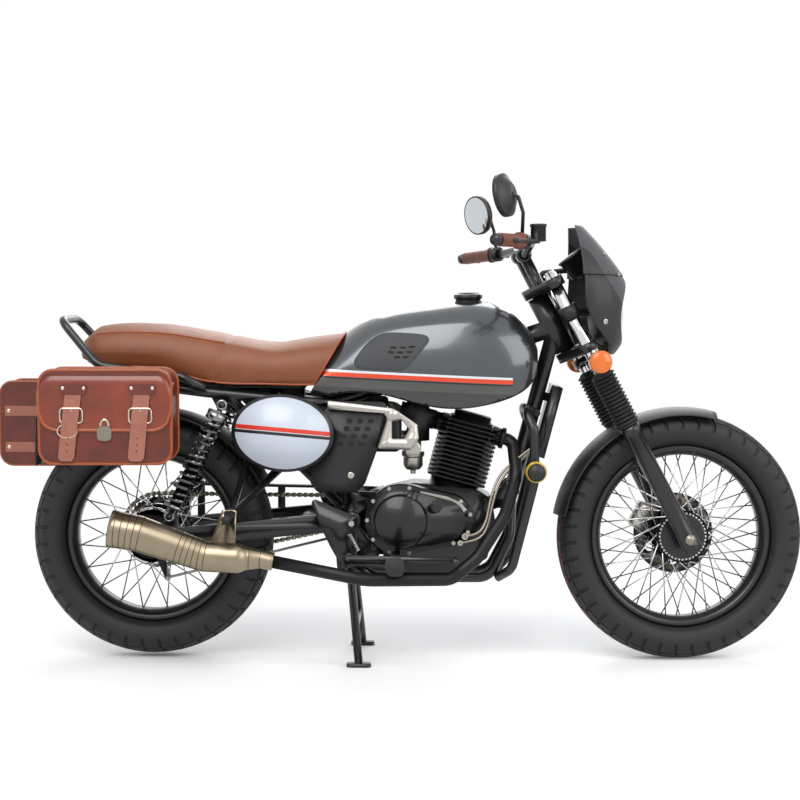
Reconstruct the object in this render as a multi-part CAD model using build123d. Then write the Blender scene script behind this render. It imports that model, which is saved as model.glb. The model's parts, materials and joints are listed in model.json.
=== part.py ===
from build123d import *
import os
from math import asin, cos, pi, radians, sin, sqrt

# A classic single-cylinder roadster on its centre stand.
# Millimetres, +X forward, +Y to the rider's left, +Z up, origin on the ground under the middle.

# Fits and clearances
FIT = 0.3              # free play of pieces that seat on each other
AXLE_CLEAR = 0.5       # radial play of a wheel, stand or stem on its pin

# Wheels and chassis
WHEELBASE = 1400.0
FRONT_AXLE_X = 768.0
FRONT_R = 327.6
FRONT_TYRE_W = 110.0
FRONT_RIM_R = 228.6
FRONT_RIM_W = 62.0
REAR_R = 320.0
REAR_TYRE_W = 130.0
REAR_RIM_R = 215.9
REAR_RIM_W = 78.0
REAR_LIFT = 8.0        # the centre stand holds the rear tyre this far off the ground
AXLE_R = 8.5

# Steering
RAKE = 27.8
FORK_OFFSET = 40.0
FORK_HALF = 98.0
REST_STEER = 5.5       # the bars are turned a little to the left
STANCHION_R = 16.5
LOWER_R = 23.0
BELLOWS_R = 33.0
STEM_R = 14.0
HEAD_R = 29.0
BAR_R = 11.0
GRIP_R = 16.5
MIRROR_R = 54.0

# Tubes
SPINE_R = 24.0
DOWNTUBE_R = 20.0
RAIL_R = 13.0
STRUT_R = 11.0
GUARD_R = 12.5
GRAB_R = 11.0
PIPE_R = 16.5
SWINGARM_H = 46.0

# Bodywork
TANK_WALL = 2.5
TANK_HALF = 138.0
TUNNEL_HALF = 34.0
SHELL = 3.0            # fender, cowl and panel thickness
BAG_DEPTH = 130.0
BAG_ROUND = 32.0
LAMP_R = 84.0

BASE = (Align.CENTER, Align.CENTER, Align.MIN)
PIECES = {}


def keep(name, *solids):
    PIECES[name] = [part for solid in solids for part in solid.solids()]


def unit(a, b):
    return (Vector(*b) - Vector(*a)).normalized()


def rod(a, b, r, r_end=None):
    """Round bar from a to b, tapered where r_end is given."""
    length = (Vector(*b) - Vector(*a)).length
    stock = Cylinder(r, length, align=BASE) if r_end is None else Cone(r, r_end, length, align=BASE)
    return Plane(Vector(*a), z_dir=unit(a, b)) * stock


def bent(points, bend, r):
    """Round bar bent through the points, with one bend radius or one for each corner."""
    path = FilletPolyline(*points, radius=bend)
    return sweep(Plane(path @ 0, z_dir=path % 0) * Circle(r), path=path)


def slab(points, y_from, y_to, corner=0.0):
    """Plate cut to a side-view outline of X, Z points, between two Y planes."""
    outline = make_face(Polyline(*points, close=True))
    if corner:
        outline = fillet(outline.vertices(), corner)
    return extrude(Plane.XZ.offset(-y_from) * outline, amount=y_from - y_to)


def across(x, z, y_from, y_to, r):
    """Round bar parallel to Y."""
    return rod((x, y_from, z), (x, y_to, z), r)


def mirrored(part):
    return mirror(part, about=Plane.XZ)


def polar(place, radius, angle):
    """X and Z at a radius and an angle round a side-view place."""
    return place[0] + radius * cos(angle), place[1] + radius * sin(angle)


def turned(points, axis_x, axis_z):
    """Ring turned from radius, Y points about the Y axis through axis_x, axis_z."""
    section = make_face(Polyline(*[(y, radius) for radius, y in points], close=True))
    return Pos(axis_x, 0, axis_z) * revolve(Plane.YZ * section, Axis.Y)


# Steering geometry: fork pieces are made straight ahead, then turned to the rest angle
AHEAD = Vector(cos(radians(RAKE)), 0, sin(radians(RAKE)))
UP_FORK = Vector(-sin(radians(RAKE)), 0, cos(radians(RAKE)))
CROWN_R = FRONT_TYRE_W * 0.5
TURNED_AXLE = Vector(0, 1, 0).rotate(Axis((0, 0, 0), tuple(UP_FORK)), REST_STEER)
TURNED_OFFSET = (AHEAD * FORK_OFFSET).rotate(Axis((0, 0, 0), tuple(UP_FORK)), REST_STEER)
AXLE_DROP = FORK_OFFSET * AHEAD.Z - TURNED_OFFSET.Z
LEAN_DROP = (FRONT_R - CROWN_R) * (1 - sqrt(1 - TURNED_AXLE.Z ** 2))
FRONT_AXLE_Z = FRONT_R + AXLE_DROP - LEAN_DROP
FRONT_AXLE = Vector(FRONT_AXLE_X, 0, FRONT_AXLE_Z)
STEER_FOOT = FRONT_AXLE - AHEAD * FORK_OFFSET
STEER_AXIS = Axis(tuple(STEER_FOOT), tuple(UP_FORK))
FORK = Plane(STEER_FOOT, x_dir=AHEAD, z_dir=UP_FORK)
REAR_AXLE_X = FRONT_AXLE_X - WHEELBASE
REAR_AXLE_Z = REAR_R + REAR_LIFT


def steered(part):
    return part.rotate(STEER_AXIS, REST_STEER)


def leg_point(up, side, ahead=0.0):
    """World point beside a fork leg, measured up the leg from the axle."""
    return tuple(FORK.from_local_coords(Vector(FORK_OFFSET + ahead, side, up)))


def stem_point(up):
    return tuple(FORK.from_local_coords(Vector(0, 0, up)))


# Wheels

RIM_WALL = 4.0
RIM_WELL = 14.0        # depth of the rim's well below its bead seat
RIM_FLANGE = 12.7
TYRE_SKIN = 9.0
SPOKE_R = 1.7
BEAD_GAP = 0.6         # between the tyre's bead and the rim's seat
REST_GAP = 0.8         # between the frame's seat rests and the seat


def tyre(radius, width, rim_r, rim_w, axis_x, axis_z):
    """Round-crowned tyre with bulging walls, open towards the rim."""
    bead = rim_r + RIM_WALL + BEAD_GAP
    wall_r = (radius + bead) * 0.5 + 6
    shoulder = radius - width * 0.24
    half, seat = width * 0.5, rim_w * 0.5 - RIM_WALL - FIT
    lip = rim_r + RIM_FLANGE + FIT
    outer = Polyline((-seat, bead), (seat, bead), (seat, lip), (half - 10, lip + 9))
    outer += ThreePointArc((half - 10, lip + 9), (half, wall_r), (half - 5, shoulder))
    outer += ThreePointArc((half - 5, shoulder), (0, radius), (5 - half, shoulder))
    outer += ThreePointArc((5 - half, shoulder), (-half, wall_r), (10 - half, lip + 9))
    outer += Polyline((10 - half, lip + 9), (-seat, lip), (-seat, bead))
    throat, neck = seat - TYRE_SKIN, lip + TYRE_SKIN
    inner = ThreePointArc((throat, neck), (0, radius - TYRE_SKIN), (-throat, neck))
    inner += Polyline((-throat, neck), (-throat, bead - 1), (throat, bead - 1), (throat, neck))
    section = make_face(outer) - make_face(inner)
    return Pos(axis_x, 0, axis_z) * revolve(Plane.YZ * section, Axis.Y)


def rim(rim_r, rim_w, axis_x, axis_z):
    half, bottom = rim_w * 0.5, rim_r - RIM_WELL
    points = [(rim_r + RIM_FLANGE, half), (rim_r, half - 2), (rim_r - 4, half - 6), (bottom, 14),
              (bottom, -14), (rim_r - 4, 6 - half), (rim_r, 2 - half), (rim_r + RIM_FLANGE, -half),
              (rim_r + RIM_FLANGE, RIM_WALL - half), (rim_r + RIM_WALL, RIM_WALL - half),
              (bottom + RIM_WALL, -11), (bottom + RIM_WALL, 11), (rim_r + RIM_WALL, half - RIM_WALL),
              (rim_r + RIM_FLANGE, half - RIM_WALL)]
    return turned(points, axis_x, axis_z)


def spokes(hub_r, flange_y, rim_inner, count, sweep_deg, axis_x, axis_z):
    """Laced spokes: each flange has one set leaning forward outside it and one leaning back inside it."""
    bars = []
    for flange, lean_out in [(1, 1), (1, -1), (-1, 1), (-1, -1)]:
        start_y = flange * (flange_y + lean_out * 5.5)
        end_y = flange * (6.5 + lean_out * 3.0)
        phase = 90.0 / count * (flange + 1) + 90.0 / count * lean_out
        for index in range(count):
            at_hub = radians(360.0 * index / count + phase)
            at_rim = at_hub + lean_out * radians(sweep_deg)
            reach = rim_inner - 2 * FIT
            start = (axis_x + hub_r * cos(at_hub), start_y, axis_z + hub_r * sin(at_hub))
            end = (axis_x + reach * cos(at_rim), end_y, axis_z + reach * sin(at_rim))
            bars.append(rod(start, end, SPOKE_R))
    return bars


FRONT_HUB_R = 62.0
FRONT_FLANGE_Y = 42.0
FRONT_BARREL_R = 31.0
REAR_DRUM_R = 78.0
REAR_FLANGE_Y = 40.0
REAR_HUB_R = 70.0
FLANGE_T = 8.0
FRONT_SPOKES = 16      # in each of the four sets
REAR_SPOKES = 10
DISC_R = 108.0
DISC_T = 5.0
DISC_BOLT_AT = 44.0
DISC_PEG_R = 7.0
DISC_HOLE_AT = 74.0
DISC_HOLE_R = 13.0
DISC_STANDOFF = 17.0
DISC_Y = FRONT_FLANGE_Y + (FLANGE_T + DISC_T) * 0.5 + DISC_STANDOFF


def hub(flange_r, flange_y, barrel_r, axis_x, axis_z):
    """Barrel between two spoke flanges, bored for the axle."""
    bore, lip = AXLE_R + AXLE_CLEAR, flange_y - FLANGE_T * 0.5
    edge = flange_y + FLANGE_T * 0.5
    points = [(bore, -edge), (flange_r + 7, -edge), (flange_r + 7, -lip), (barrel_r, -lip + 10),
              (barrel_r, lip - 10), (flange_r + 7, lip), (flange_r + 7, edge), (bore, edge)]
    return turned(points, axis_x, axis_z)


def front_wheel():
    place = FRONT_AXLE_X, FRONT_AXLE_Z
    keep("front_tyre", steered(tyre(FRONT_R, FRONT_TYRE_W, FRONT_RIM_R, FRONT_RIM_W, *place)))
    keep("front_rim", steered(rim(FRONT_RIM_R, FRONT_RIM_W, *place)))
    wires = spokes(FRONT_HUB_R, FRONT_FLANGE_Y, FRONT_RIM_R - RIM_WELL, FRONT_SPOKES, 52, *place)
    body = hub(FRONT_HUB_R, FRONT_FLANGE_Y, FRONT_BARREL_R, *place)
    keep("front_hub", steered(body.fuse(*wires)))
    inside = DISC_Y - DISC_T * 0.5
    eye, outside = DISC_BOLT_AT - 10, inside + DISC_T
    disc = turned([(eye, inside), (DISC_R, inside), (DISC_R, outside), (eye, outside)], *place)
    for index in range(6):
        angle = radians(60 * index + 30)
        disc -= across(*polar(place, DISC_HOLE_AT, angle), inside - 1, inside + DISC_T + 1, DISC_HOLE_R)
    for index in range(5):
        angle = radians(72 * index)
        disc += across(*polar(place, DISC_BOLT_AT, angle), inside - DISC_STANDOFF, inside + 1, DISC_PEG_R)
    keep("front_disc", steered(disc))


SPROCKET_R = 92.0
SPROCKET_Y = 82.0
SPROCKET_T = 7.0
SPROCKET_TEETH = 38
SPROCKET_EYE = 30.0
SPROCKET_HOLE_AT = 58.0
SPROCKET_HOLE_R = 15.0
ROLLER_R = 5.2


def sprocket():
    place = REAR_AXLE_X, REAR_AXLE_Z
    near = SPROCKET_Y - SPROCKET_T * 0.5
    far = near + SPROCKET_T
    ring = turned([(SPROCKET_EYE, near), (SPROCKET_R, near), (SPROCKET_R, far), (SPROCKET_EYE, far)], *place)
    for index in range(SPROCKET_TEETH):
        angle = 2 * pi * index / SPROCKET_TEETH
        ring -= across(*polar(place, SPROCKET_R + 1.5, angle), near - 1, far + 1, ROLLER_R)
    for index in range(5):
        angle = radians(72 * index)
        ring -= across(*polar(place, SPROCKET_HOLE_AT, angle), near - 1, far + 1, SPROCKET_HOLE_R)
    seat = REAR_FLANGE_Y + FLANGE_T * 0.5
    boss = SPROCKET_EYE + 10
    ring += turned([(SPROCKET_EYE, seat), (boss, seat), (boss, near + 1), (SPROCKET_EYE, near + 1)], *place)
    keep("rear_sprocket", ring)


def rear_wheel():
    place = REAR_AXLE_X, REAR_AXLE_Z
    keep("rear_tyre", tyre(REAR_R, REAR_TYRE_W, REAR_RIM_R, REAR_RIM_W, *place))
    keep("rear_rim", rim(REAR_RIM_R, REAR_RIM_W, *place))
    wires = spokes(REAR_HUB_R, REAR_FLANGE_Y, REAR_RIM_R - RIM_WELL, REAR_SPOKES, 36, *place)
    body = hub(REAR_HUB_R, REAR_FLANGE_Y, REAR_DRUM_R - 14, *place)
    keep("rear_hub", body.fuse(*wires))
    sprocket()


# Fork, measured up the legs from the axle

LOWER_TOP = 335.0
BELLOWS_LONG = 155.0
BELLOWS_TOP = LOWER_TOP + BELLOWS_LONG
COLLAR_ROOM = 62.0     # bare stanchion between bellows and lower clamp
CLAMP_LOW_UP = BELLOWS_TOP + COLLAR_ROOM
CLAMP_LOW_T = 24.0
CLAMP_SPAN = 188.0
CLAMP_TOP_UP = CLAMP_LOW_UP + CLAMP_SPAN
CLAMP_TOP_T = 26.0
STANCHION_TOP = CLAMP_TOP_UP + CLAMP_TOP_T + 10
INDICATOR_UP = BELLOWS_TOP + COLLAR_ROOM * 0.5
EAR_SHIFT = 9.0        # the lamp's ears sit this far above the middle between the clamps
LAMP_EAR_UP = (CLAMP_LOW_UP + CLAMP_LOW_T + CLAMP_TOP_UP) * 0.5 + EAR_SHIFT
COLLAR_R = 25.0
BAR_RISE = 112.0
BAR_UP = CLAMP_TOP_UP + BAR_RISE
BAR_AHEAD = 11.0
RISER_HALF = 40.0


def clamp(up, thickness, stem_r, leg_r):
    """Fork clamp: two leg bosses joined to the stem boss, bored for the legs."""
    bosses = Circle(stem_r)
    for side in (-1, 1):
        bosses += Pos(FORK_OFFSET, side * FORK_HALF) * Circle(leg_r)
    body = extrude(make_hull(bosses.edges()), thickness)
    for side in (-1, 1):
        bore = Cylinder(STANCHION_R + FIT, thickness + 2, align=BASE)
        body -= Pos(FORK_OFFSET, side * FORK_HALF, -1) * bore
    return FORK * Pos(0, 0, up) * body


def collar(up, side, height):
    """Split collar round a stanchion."""
    ring = rod(leg_point(up - height / 2, side), leg_point(up + height / 2, side), COLLAR_R)
    return ring - rod(leg_point(up - height, side), leg_point(up + height, side), STANCHION_R + FIT)


def bellows(side):
    """Ribbed rubber gaiter over a stanchion."""
    ribs, inner = 7, STANCHION_R + FIT
    pitch = (BELLOWS_TOP - LOWER_TOP - 10) / ribs
    points = [(inner, LOWER_TOP), (LOWER_R + 3, LOWER_TOP)]
    for index in range(ribs):
        low = LOWER_TOP + 5 + index * pitch
        points += [(BELLOWS_R - 7, low), (BELLOWS_R, low + pitch * 0.5)]
    points += [(BELLOWS_R - 7, BELLOWS_TOP - 5), (STANCHION_R + 5, BELLOWS_TOP), (inner, BELLOWS_TOP)]
    ring = revolve(Plane.XZ * make_face(Polyline(*points, close=True)), Axis.Z)
    return FORK * Pos(FORK_OFFSET, side, 0) * ring


AXLE_END = FORK_HALF + LOWER_R + 6


def fork():
    clamps = clamp(CLAMP_LOW_UP, CLAMP_LOW_T, 30, 26) + clamp(CLAMP_TOP_UP, CLAMP_TOP_T, 34, 26)
    clamps += rod(stem_point(CLAMP_LOW_UP + 1), stem_point(CLAMP_TOP_UP + 1), STEM_R)
    bar_at = Pos(BAR_AHEAD, 0, BAR_UP)
    for side in (-RISER_HALF, RISER_HALF):
        riser = FORK * Pos(BAR_AHEAD, side, CLAMP_TOP_UP + 5) * Cylinder(15, BAR_RISE - 5, align=BASE)
        cap = FORK * bar_at * Pos(0, side, 0) * Rot(90, 0, 0) * Cylinder(BAR_R + 8, 38)
        clamps += riser + cap
    clamps -= FORK * bar_at * Rot(90, 0, 0) * Cylinder(BAR_R + FIT, 4 * RISER_HALF)
    keep("triple_clamps", steered(clamps))

    legs, lowers, gaiters = [], [], []
    for side in (-FORK_HALF, FORK_HALF):
        leg = rod(leg_point(LOWER_TOP, side), leg_point(STANCHION_TOP, side), STANCHION_R)
        leg += rod(leg_point(STANCHION_TOP - 2, side), leg_point(STANCHION_TOP + 8, side), STANCHION_R - 3)
        legs.append(steered(leg))
        lower = rod(leg_point(-28, side), leg_point(LOWER_TOP, side), LOWER_R)
        lower += rod(leg_point(LOWER_TOP - 30, side), leg_point(LOWER_TOP, side), LOWER_R + 3)
        lower += rod(leg_point(-30, side), leg_point(40, side), LOWER_R + 4, LOWER_R)
        lower -= across(FRONT_AXLE_X, FRONT_AXLE_Z, side - 40, side + 40, AXLE_R + FIT)
        lowers.append(steered(lower))
        gaiters.append(steered(bellows(side)))
    keep("fork_stanchions", *legs)
    keep("fork_lowers", *lowers)
    keep("fork_bellows", *gaiters)

    axle = across(FRONT_AXLE_X, FRONT_AXLE_Z, -AXLE_END, AXLE_END, AXLE_R)
    for side in (-1, 1):
        outer = side * (FORK_HALF + LOWER_R + 5)
        axle += across(FRONT_AXLE_X, FRONT_AXLE_Z, outer, outer + side * 12, 14)
        hub_face = FRONT_FLANGE_Y + FLANGE_T * 0.5 + FIT
        leg_face = FORK_HALF - LOWER_R - 5
        axle += across(FRONT_AXLE_X, FRONT_AXLE_Z, side * hub_face, side * leg_face, AXLE_R + 6)
    keep("front_axle", steered(axle))


FENDER_ROOM = 14.4      # between the tyre's crown and the top of the fender
FENDER_R = FRONT_R + FENDER_ROOM
FENDER_HALF = 66.0
FENDER_FROM = 74.0     # degrees from straight ahead, round the axle
FENDER_TO = 170.0


def front_fender():
    """Crowned blade round the tyre with turned-down edges, on two lugs to the fork legs."""
    edge, rise = FENDER_R - 22, FENDER_R
    path = ThreePointArc((-FENDER_HALF, edge), (0, rise), (FENDER_HALF, edge))
    path += Line((FENDER_HALF, edge), (FENDER_HALF - SHELL, edge - 1))
    path += ThreePointArc((FENDER_HALF - SHELL, edge - 1), (0, rise - SHELL), (SHELL - FENDER_HALF, edge - 1))
    path += Line((SHELL - FENDER_HALF, edge - 1), (-FENDER_HALF, edge))
    blade = revolve(Plane.YZ * make_face(path), Axis.Y, revolution_arc=FENDER_TO - FENDER_FROM)
    blade = Rot(0, 90 - FENDER_TO, 0) * blade
    blade = Pos(FRONT_AXLE_X, 0, FRONT_AXLE_Z) * blade
    for side in (-1, 1):
        inner, outer = side * (FENDER_HALF - 4), side * (FORK_HALF - LOWER_R + 8)
        lug = rod(leg_point(FENDER_R - 22, inner), leg_point(FENDER_R - 22, outer), 7)
        leg = rod(leg_point(0, side * FORK_HALF), leg_point(400, side * FORK_HALF), LOWER_R + 3 + FIT)
        blade += lug - leg
    keep("front_fender", steered(blade))


CALIPER_AT = 152.0     # degrees round the axle


def front_caliper():
    """Two-half disc caliper with a lug to the left fork leg."""
    angle, reach = radians(CALIPER_AT), DISC_R - 16
    x, z = FRONT_AXLE_X + reach * cos(angle), FRONT_AXLE_Z + reach * sin(angle)
    clear = DISC_T * 0.5 + 3
    block = fillet(Box(58, 27, 74).edges().filter_by(Axis.Y), 12)
    body = Pos(x, DISC_Y, z) * Rot(0, -CALIPER_AT, 0) * Pos(0, 3.5, 0) * block
    slot = turned([(20, DISC_Y - clear), (DISC_R + 4, DISC_Y - clear),
                   (DISC_R + 4, DISC_Y + clear), (20, DISC_Y + clear)], FRONT_AXLE_X, FRONT_AXLE_Z)
    body -= slot
    leg = rod(leg_point(-40, FORK_HALF), leg_point(400, FORK_HALF), LOWER_R + FIT)
    for up in (62, 104):
        foot = leg_point(up, FORK_HALF - 16)
        body += rod((x + 4, DISC_Y + 12, z + (up - 83) * 0.6), foot, 9)
    keep("front_caliper", steered(body - leg))


# Bars: half path from the middle to the end, X, Y, Z
BAR_MID = FORK.from_local_coords(Vector(BAR_AHEAD, 0, BAR_UP))
BAR_PATH = [(BAR_MID.X, 0, BAR_MID.Z), (BAR_MID.X, 64, BAR_MID.Z), (BAR_MID.X + 7, 132, BAR_MID.Z + 25),
            (BAR_MID.X - 20, 238, BAR_MID.Z + 22), (BAR_MID.X - 110, 372, BAR_MID.Z + 16)]
BAR_END = Vector(*BAR_PATH[-1])
ALONG_GRIP = unit(BAR_PATH[-1], BAR_PATH[-2])
GRIP_FROM = 6.0
GRIP_TO = 122.0
HOUSING_TO = 150.0
HOUSING_R = 20.0
BAR_PLUG = 14.0
LEVER_AHEAD = 46.0


def on_grip(inward, ahead=0.0, up=0.0):
    """World point on the left grip's line, measured in from the bar end."""
    forward = Vector(-ALONG_GRIP.Y, ALONG_GRIP.X, 0).normalized()
    return tuple(BAR_END + ALONG_GRIP * inward + forward * ahead + Vector(0, 0, up))


def sleeve(inward_from, inward_to, r):
    tube = rod(on_grip(inward_from), on_grip(inward_to), r)
    return tube - rod(on_grip(inward_from - 1), on_grip(inward_to + 1), BAR_R + FIT)


def controls():
    """Left switch housing with its lever; the right one is the same with a brake reservoir."""
    body = sleeve(GRIP_TO + FIT, HOUSING_TO, HOUSING_R)
    middle = (GRIP_TO + HOUSING_TO) * 0.5
    body += rod(on_grip(middle, 16), on_grip(middle, LEVER_AHEAD), 8)
    lever = [on_grip(middle + 4, LEVER_AHEAD - 6), on_grip(GRIP_TO - 34, LEVER_AHEAD, -2),
             on_grip(GRIP_TO - 82, LEVER_AHEAD - 10, -4), on_grip(4, LEVER_AHEAD + 2, -4)]
    body += bent(lever, 40, 5) + Pos(on_grip(4, LEVER_AHEAD + 2, -4)) * Sphere(8)
    return body


def handlebar():
    half = BAR_PATH[1:]
    points = [(x, -y, z) for x, y, z in reversed(half)] + half
    bar = bent(points, [60, 45, 40, 40, 45, 60], BAR_R)
    plug = rod(on_grip(-BAR_PLUG), on_grip(1), GRIP_R - 2)
    keep("handlebar", steered(bar + plug + mirrored(plug)))
    grip = sleeve(GRIP_FROM, GRIP_TO, GRIP_R) + sleeve(GRIP_TO - 6, GRIP_TO, GRIP_R + 5)
    keep("grips", steered(grip), steered(mirrored(grip)))
    middle = (GRIP_TO + HOUSING_TO) * 0.5
    pot = rod(on_grip(middle + 8, 40, -2), on_grip(middle + 8, 40, 34), 19)
    pot += rod(on_grip(middle + 8, 40, 34), on_grip(middle + 8, 40, 40), 21)
    keep("bar_controls", steered(controls()), steered(mirrored(controls() + pot)))


MIRROR_CENTRE = Vector(BAR_END.X + 29, BAR_END.Y - 92, BAR_END.Z + 116)
MIRROR_TURN = 32.0
MIRROR_TILT = 9.0


def mirrors():
    """Round mirror: bent arm up from the switch housing and a dished shell."""
    facing = Vector(-cos(radians(MIRROR_TURN)), -sin(radians(MIRROR_TURN)), -sin(radians(MIRROR_TILT)))
    at = Plane(MIRROR_CENTRE, z_dir=facing)
    shell = at * (Pos(0, 0, -6) * Cylinder(MIRROR_R, 14, align=BASE))
    shell += at * (Pos(0, 0, -22) * Cone(MIRROR_R * 0.5, MIRROR_R, 16.5, align=BASE))
    back = at.from_local_coords(Vector(0, 0, -20))
    knee = Vector(back.X + 28, back.Y - 2, back.Z - 46)
    foot = on_grip((GRIP_TO + HOUSING_TO) * 0.5, 0, HOUSING_R - 3)
    arm = [foot, tuple(knee), tuple(Vector(back.X + 16, back.Y, back.Z - 8)), tuple(back)]
    shell += bent(arm, 7, 4.5) - rod(on_grip(GRIP_TO - 10), on_grip(HOUSING_TO + 10), HOUSING_R + FIT)
    keep("mirrors", steered(shell), steered(mirrored(shell)))


LAMP_X = 560.0
LAMP_Z = 918.0
LAMP_FRONT = 594.0
LAMP_BACK = 32.0
LENS_RISE = 20.0


def headlamp():
    """Round lamp bowl with a domed lens, on two ears clamped to the stanchions."""
    depth = LAMP_FRONT - LAMP_X
    outline = Line((0, -LAMP_BACK), (38, -LAMP_BACK))
    outline += ThreePointArc((38, -LAMP_BACK), (68, -LAMP_BACK * 0.62), (LAMP_R, 0))
    dome = (LAMP_R ** 2 + LENS_RISE ** 2) / (2 * LENS_RISE)
    half_way = asin(LAMP_R / dome) * 0.5
    tip = depth + LENS_RISE
    between = (dome * sin(half_way), tip - dome * (1 - cos(half_way)))
    outline += Line((LAMP_R, 0), (LAMP_R, depth)) + ThreePointArc((LAMP_R, depth), between, (0, tip))
    outline += Line((0, tip), (0, -LAMP_BACK))
    bowl = revolve(Plane.XZ * make_face(outline), Axis.Z)
    bowl = Pos(LAMP_X, 0, LAMP_Z) * Rot(0, 90, 0) * bowl
    for side in (-FORK_HALF, FORK_HALF):
        low, high = leg_point(LAMP_EAR_UP - 17, side), leg_point(LAMP_EAR_UP + 17, side)
        bowl += rod(leg_point(LAMP_EAR_UP, side), (LAMP_X + 12, side * 0.7, LAMP_Z), 9)
        bowl += rod(low, high, COLLAR_R)
        bowl -= rod(leg_point(LAMP_EAR_UP - 40, side), leg_point(LAMP_EAR_UP + 40, side), STANCHION_R + FIT)
    keep("headlamp", steered(bowl))


# Cowl and screen sections: height, rear X, front X, half width
COWL_HALF = 135.0
COWL_SECTIONS = [(808, 564, 590, 62), (850, 548, 616, 112), (920, 500, 628, COWL_HALF),
                 (975, 492, 627, COWL_HALF), (1018, 492, 609, 122)]
SCREEN_SECTIONS = [(1014, 488, 615, 126), (1074, 487, 571, 104), (1146, 478, 508, 52)]


def bow(height, rear, front, half):
    """Flat section: a bow from side to side over the front, closed straight across the rear."""
    curve = ThreePointArc((rear, -half), (front, 0), (rear, half)) + Line((rear, half), (rear, -half))
    return Plane.XY.offset(height) * make_face(curve)


def skin(sections, floor):
    """Thin shell through bow sections, open at the rear, with the bottom closed where floor is set."""
    outer = loft([bow(*row) for row in sections])
    hollow = []
    last = len(sections) - 1
    for index, (height, rear, front, half) in enumerate(sections):
        shift = {0: floor, last: 0.5}.get(index, 0)
        hollow.append(bow(height + shift, rear - 6, front - SHELL, half - SHELL))
    return outer - loft(hollow)


def cowl_body():
    shell = skin(COWL_SECTIONS, SHELL)
    shell -= rod((LAMP_X, 0, LAMP_Z), (LAMP_X + 200, 0, LAMP_Z), LAMP_R + 4)
    inside = loft([bow(*row) for row in COWL_SECTIONS])
    for side in (-1, 1):
        boss = rod((LAMP_X + 15, side * (LAMP_R - 8), LAMP_Z), (LAMP_X + 15, side * COWL_HALF, LAMP_Z), 8)
        lamp = rod((LAMP_X - 40, 0, LAMP_Z), (LAMP_X + 60, 0, LAMP_Z), LAMP_R + FIT)
        shell += (boss & inside) - lamp
    return shell


def fairing():
    keep("cowl", steered(cowl_body()))
    screen = skin(SCREEN_SECTIONS, -0.5)
    keep("screen", steered(screen - loft([bow(*row) for row in COWL_SECTIONS])))


GAUGE = Vector(498, 0, 1050)
GAUGE_R = 42.0
GAUGE_DEPTH = 50.0
INDICATOR_R = 29.0
INDICATOR_Y = 165.0


def gauge_and_indicators():
    facing = Vector(-0.62, 0, 0.78)
    at = Plane(GAUGE, z_dir=facing)
    body = at * Pos(0, 0, -GAUGE_DEPTH / 2) * Cylinder(GAUGE_R, GAUGE_DEPTH, align=BASE)
    body += at * Pos(0, 0, GAUGE_DEPTH / 2 - 1) * Cylinder(GAUGE_R + 3, 6, align=BASE)
    foot = FORK.from_local_coords(Vector(FORK_OFFSET - 8, 0, CLAMP_TOP_UP + CLAMP_TOP_T))
    stay = bent([tuple(foot), tuple(foot + UP_FORK * 24), tuple(GAUGE - facing * 20)], 10, 7)
    keep("instrument", steered(body + stay))
    lamps = []
    for side in (-1, 1):
        at = leg_point(INDICATOR_UP, side * INDICATOR_Y)
        inner = (at[0], at[1] - side * 12, at[2])
        outer = (at[0], at[1] + side * 12, at[2])
        tip = (at[0], at[1] + side * 18, at[2])
        lamp = rod(inner, outer, INDICATOR_R) + rod(outer, tip, INDICATOR_R, INDICATOR_R - 8)
        lamp += rod(leg_point(INDICATOR_UP, side * (FORK_HALF + COLLAR_R - 3)), inner, 7)
        lamps.append(steered(lamp + collar(INDICATOR_UP, side * FORK_HALF, 24)))
    keep("front_indicators", *lamps)


# Frame: side-view places as X, Z
PIVOT = (-97.0, 380.0)
PLATE_Y = 55.0         # inner face of the swingarm pivot plates
PLATE_T = 10.0
SPINE_REAR = (-130.0, 688.0)
SPINE_UP = CLAMP_LOW_UP + CLAMP_SPAN * 0.5
DOWNTUBE_UP = SPINE_UP - 5
DOWNTUBE_END = (322.0, 448.0)
FRONT_LUG = (288.0, 420.0)
LUG_HALF = 20.0
STAND_PIVOT = (-105.0, 262.0)
STAND_PIN_R = 9.0
PIVOT_PIN_R = 9.0
SHOCK_TOP = (-430.0, 684.0)
SHOCK_LOW = (-568.0, 395.0)
SHOCK_Y = 150.0
SHOCK_PIN_R = 7.0
RAIL_Y = 110.0
RAIL_END = (-800.0, 756.0)
CROSS_R = 9.0
TAIL_BAR = (RAIL_END[0] + 12, RAIL_END[1] - 1)      # cross bar between the rails' ends
ENGINE_HALF = 75.0
ENGINE_BOLTS = [(-45, 430), (-45, 305)]
CRADLE_Y = 60.0
CRADLE_Z = 222.0
STAND_IN = 80.0        # the centre stand's bushes, from the middle
STAND_OUT = 104.0
SIDE_STAND_PIVOT = (110.0, 236.0)
SIDE_STAND_AT = (SIDE_STAND_PIVOT[0], 130.0, SIDE_STAND_PIVOT[1])
SIDE_STAND_SPLAY = 20.0
SIDE_PIN_R = 7.0
SIDE_PIN = Plane(SIDE_STAND_AT, z_dir=(0, cos(radians(SIDE_STAND_SPLAY)), sin(radians(SIDE_STAND_SPLAY))))
SEAT_RESTS = [(-300, 697, 735), (-600, 730, 775)]      # X, cross bar Z, underside of the seat
PAN_T = 14.0           # seat pan between the rests and the seat
TANK_PADS = [(300, 9), (20, 9)]      # X along the spine, pad radius


def link(start, end, r_start, r_end, y_from, y_to):
    """Flat bar with two round ends, between two Y planes."""
    ends = Pos(*start) * Circle(r_start) + Pos(*end) * Circle(r_end)
    outline = make_hull(ends.edges())
    return extrude(Plane.XZ.offset(-y_from) * outline, amount=y_from - y_to)


def spine_z(x):
    head = stem_point(SPINE_UP)
    share = (x - SPINE_REAR[0]) / (head[0] - SPINE_REAR[0])
    return SPINE_REAR[1] + share * (head[2] - SPINE_REAR[1])


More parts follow.
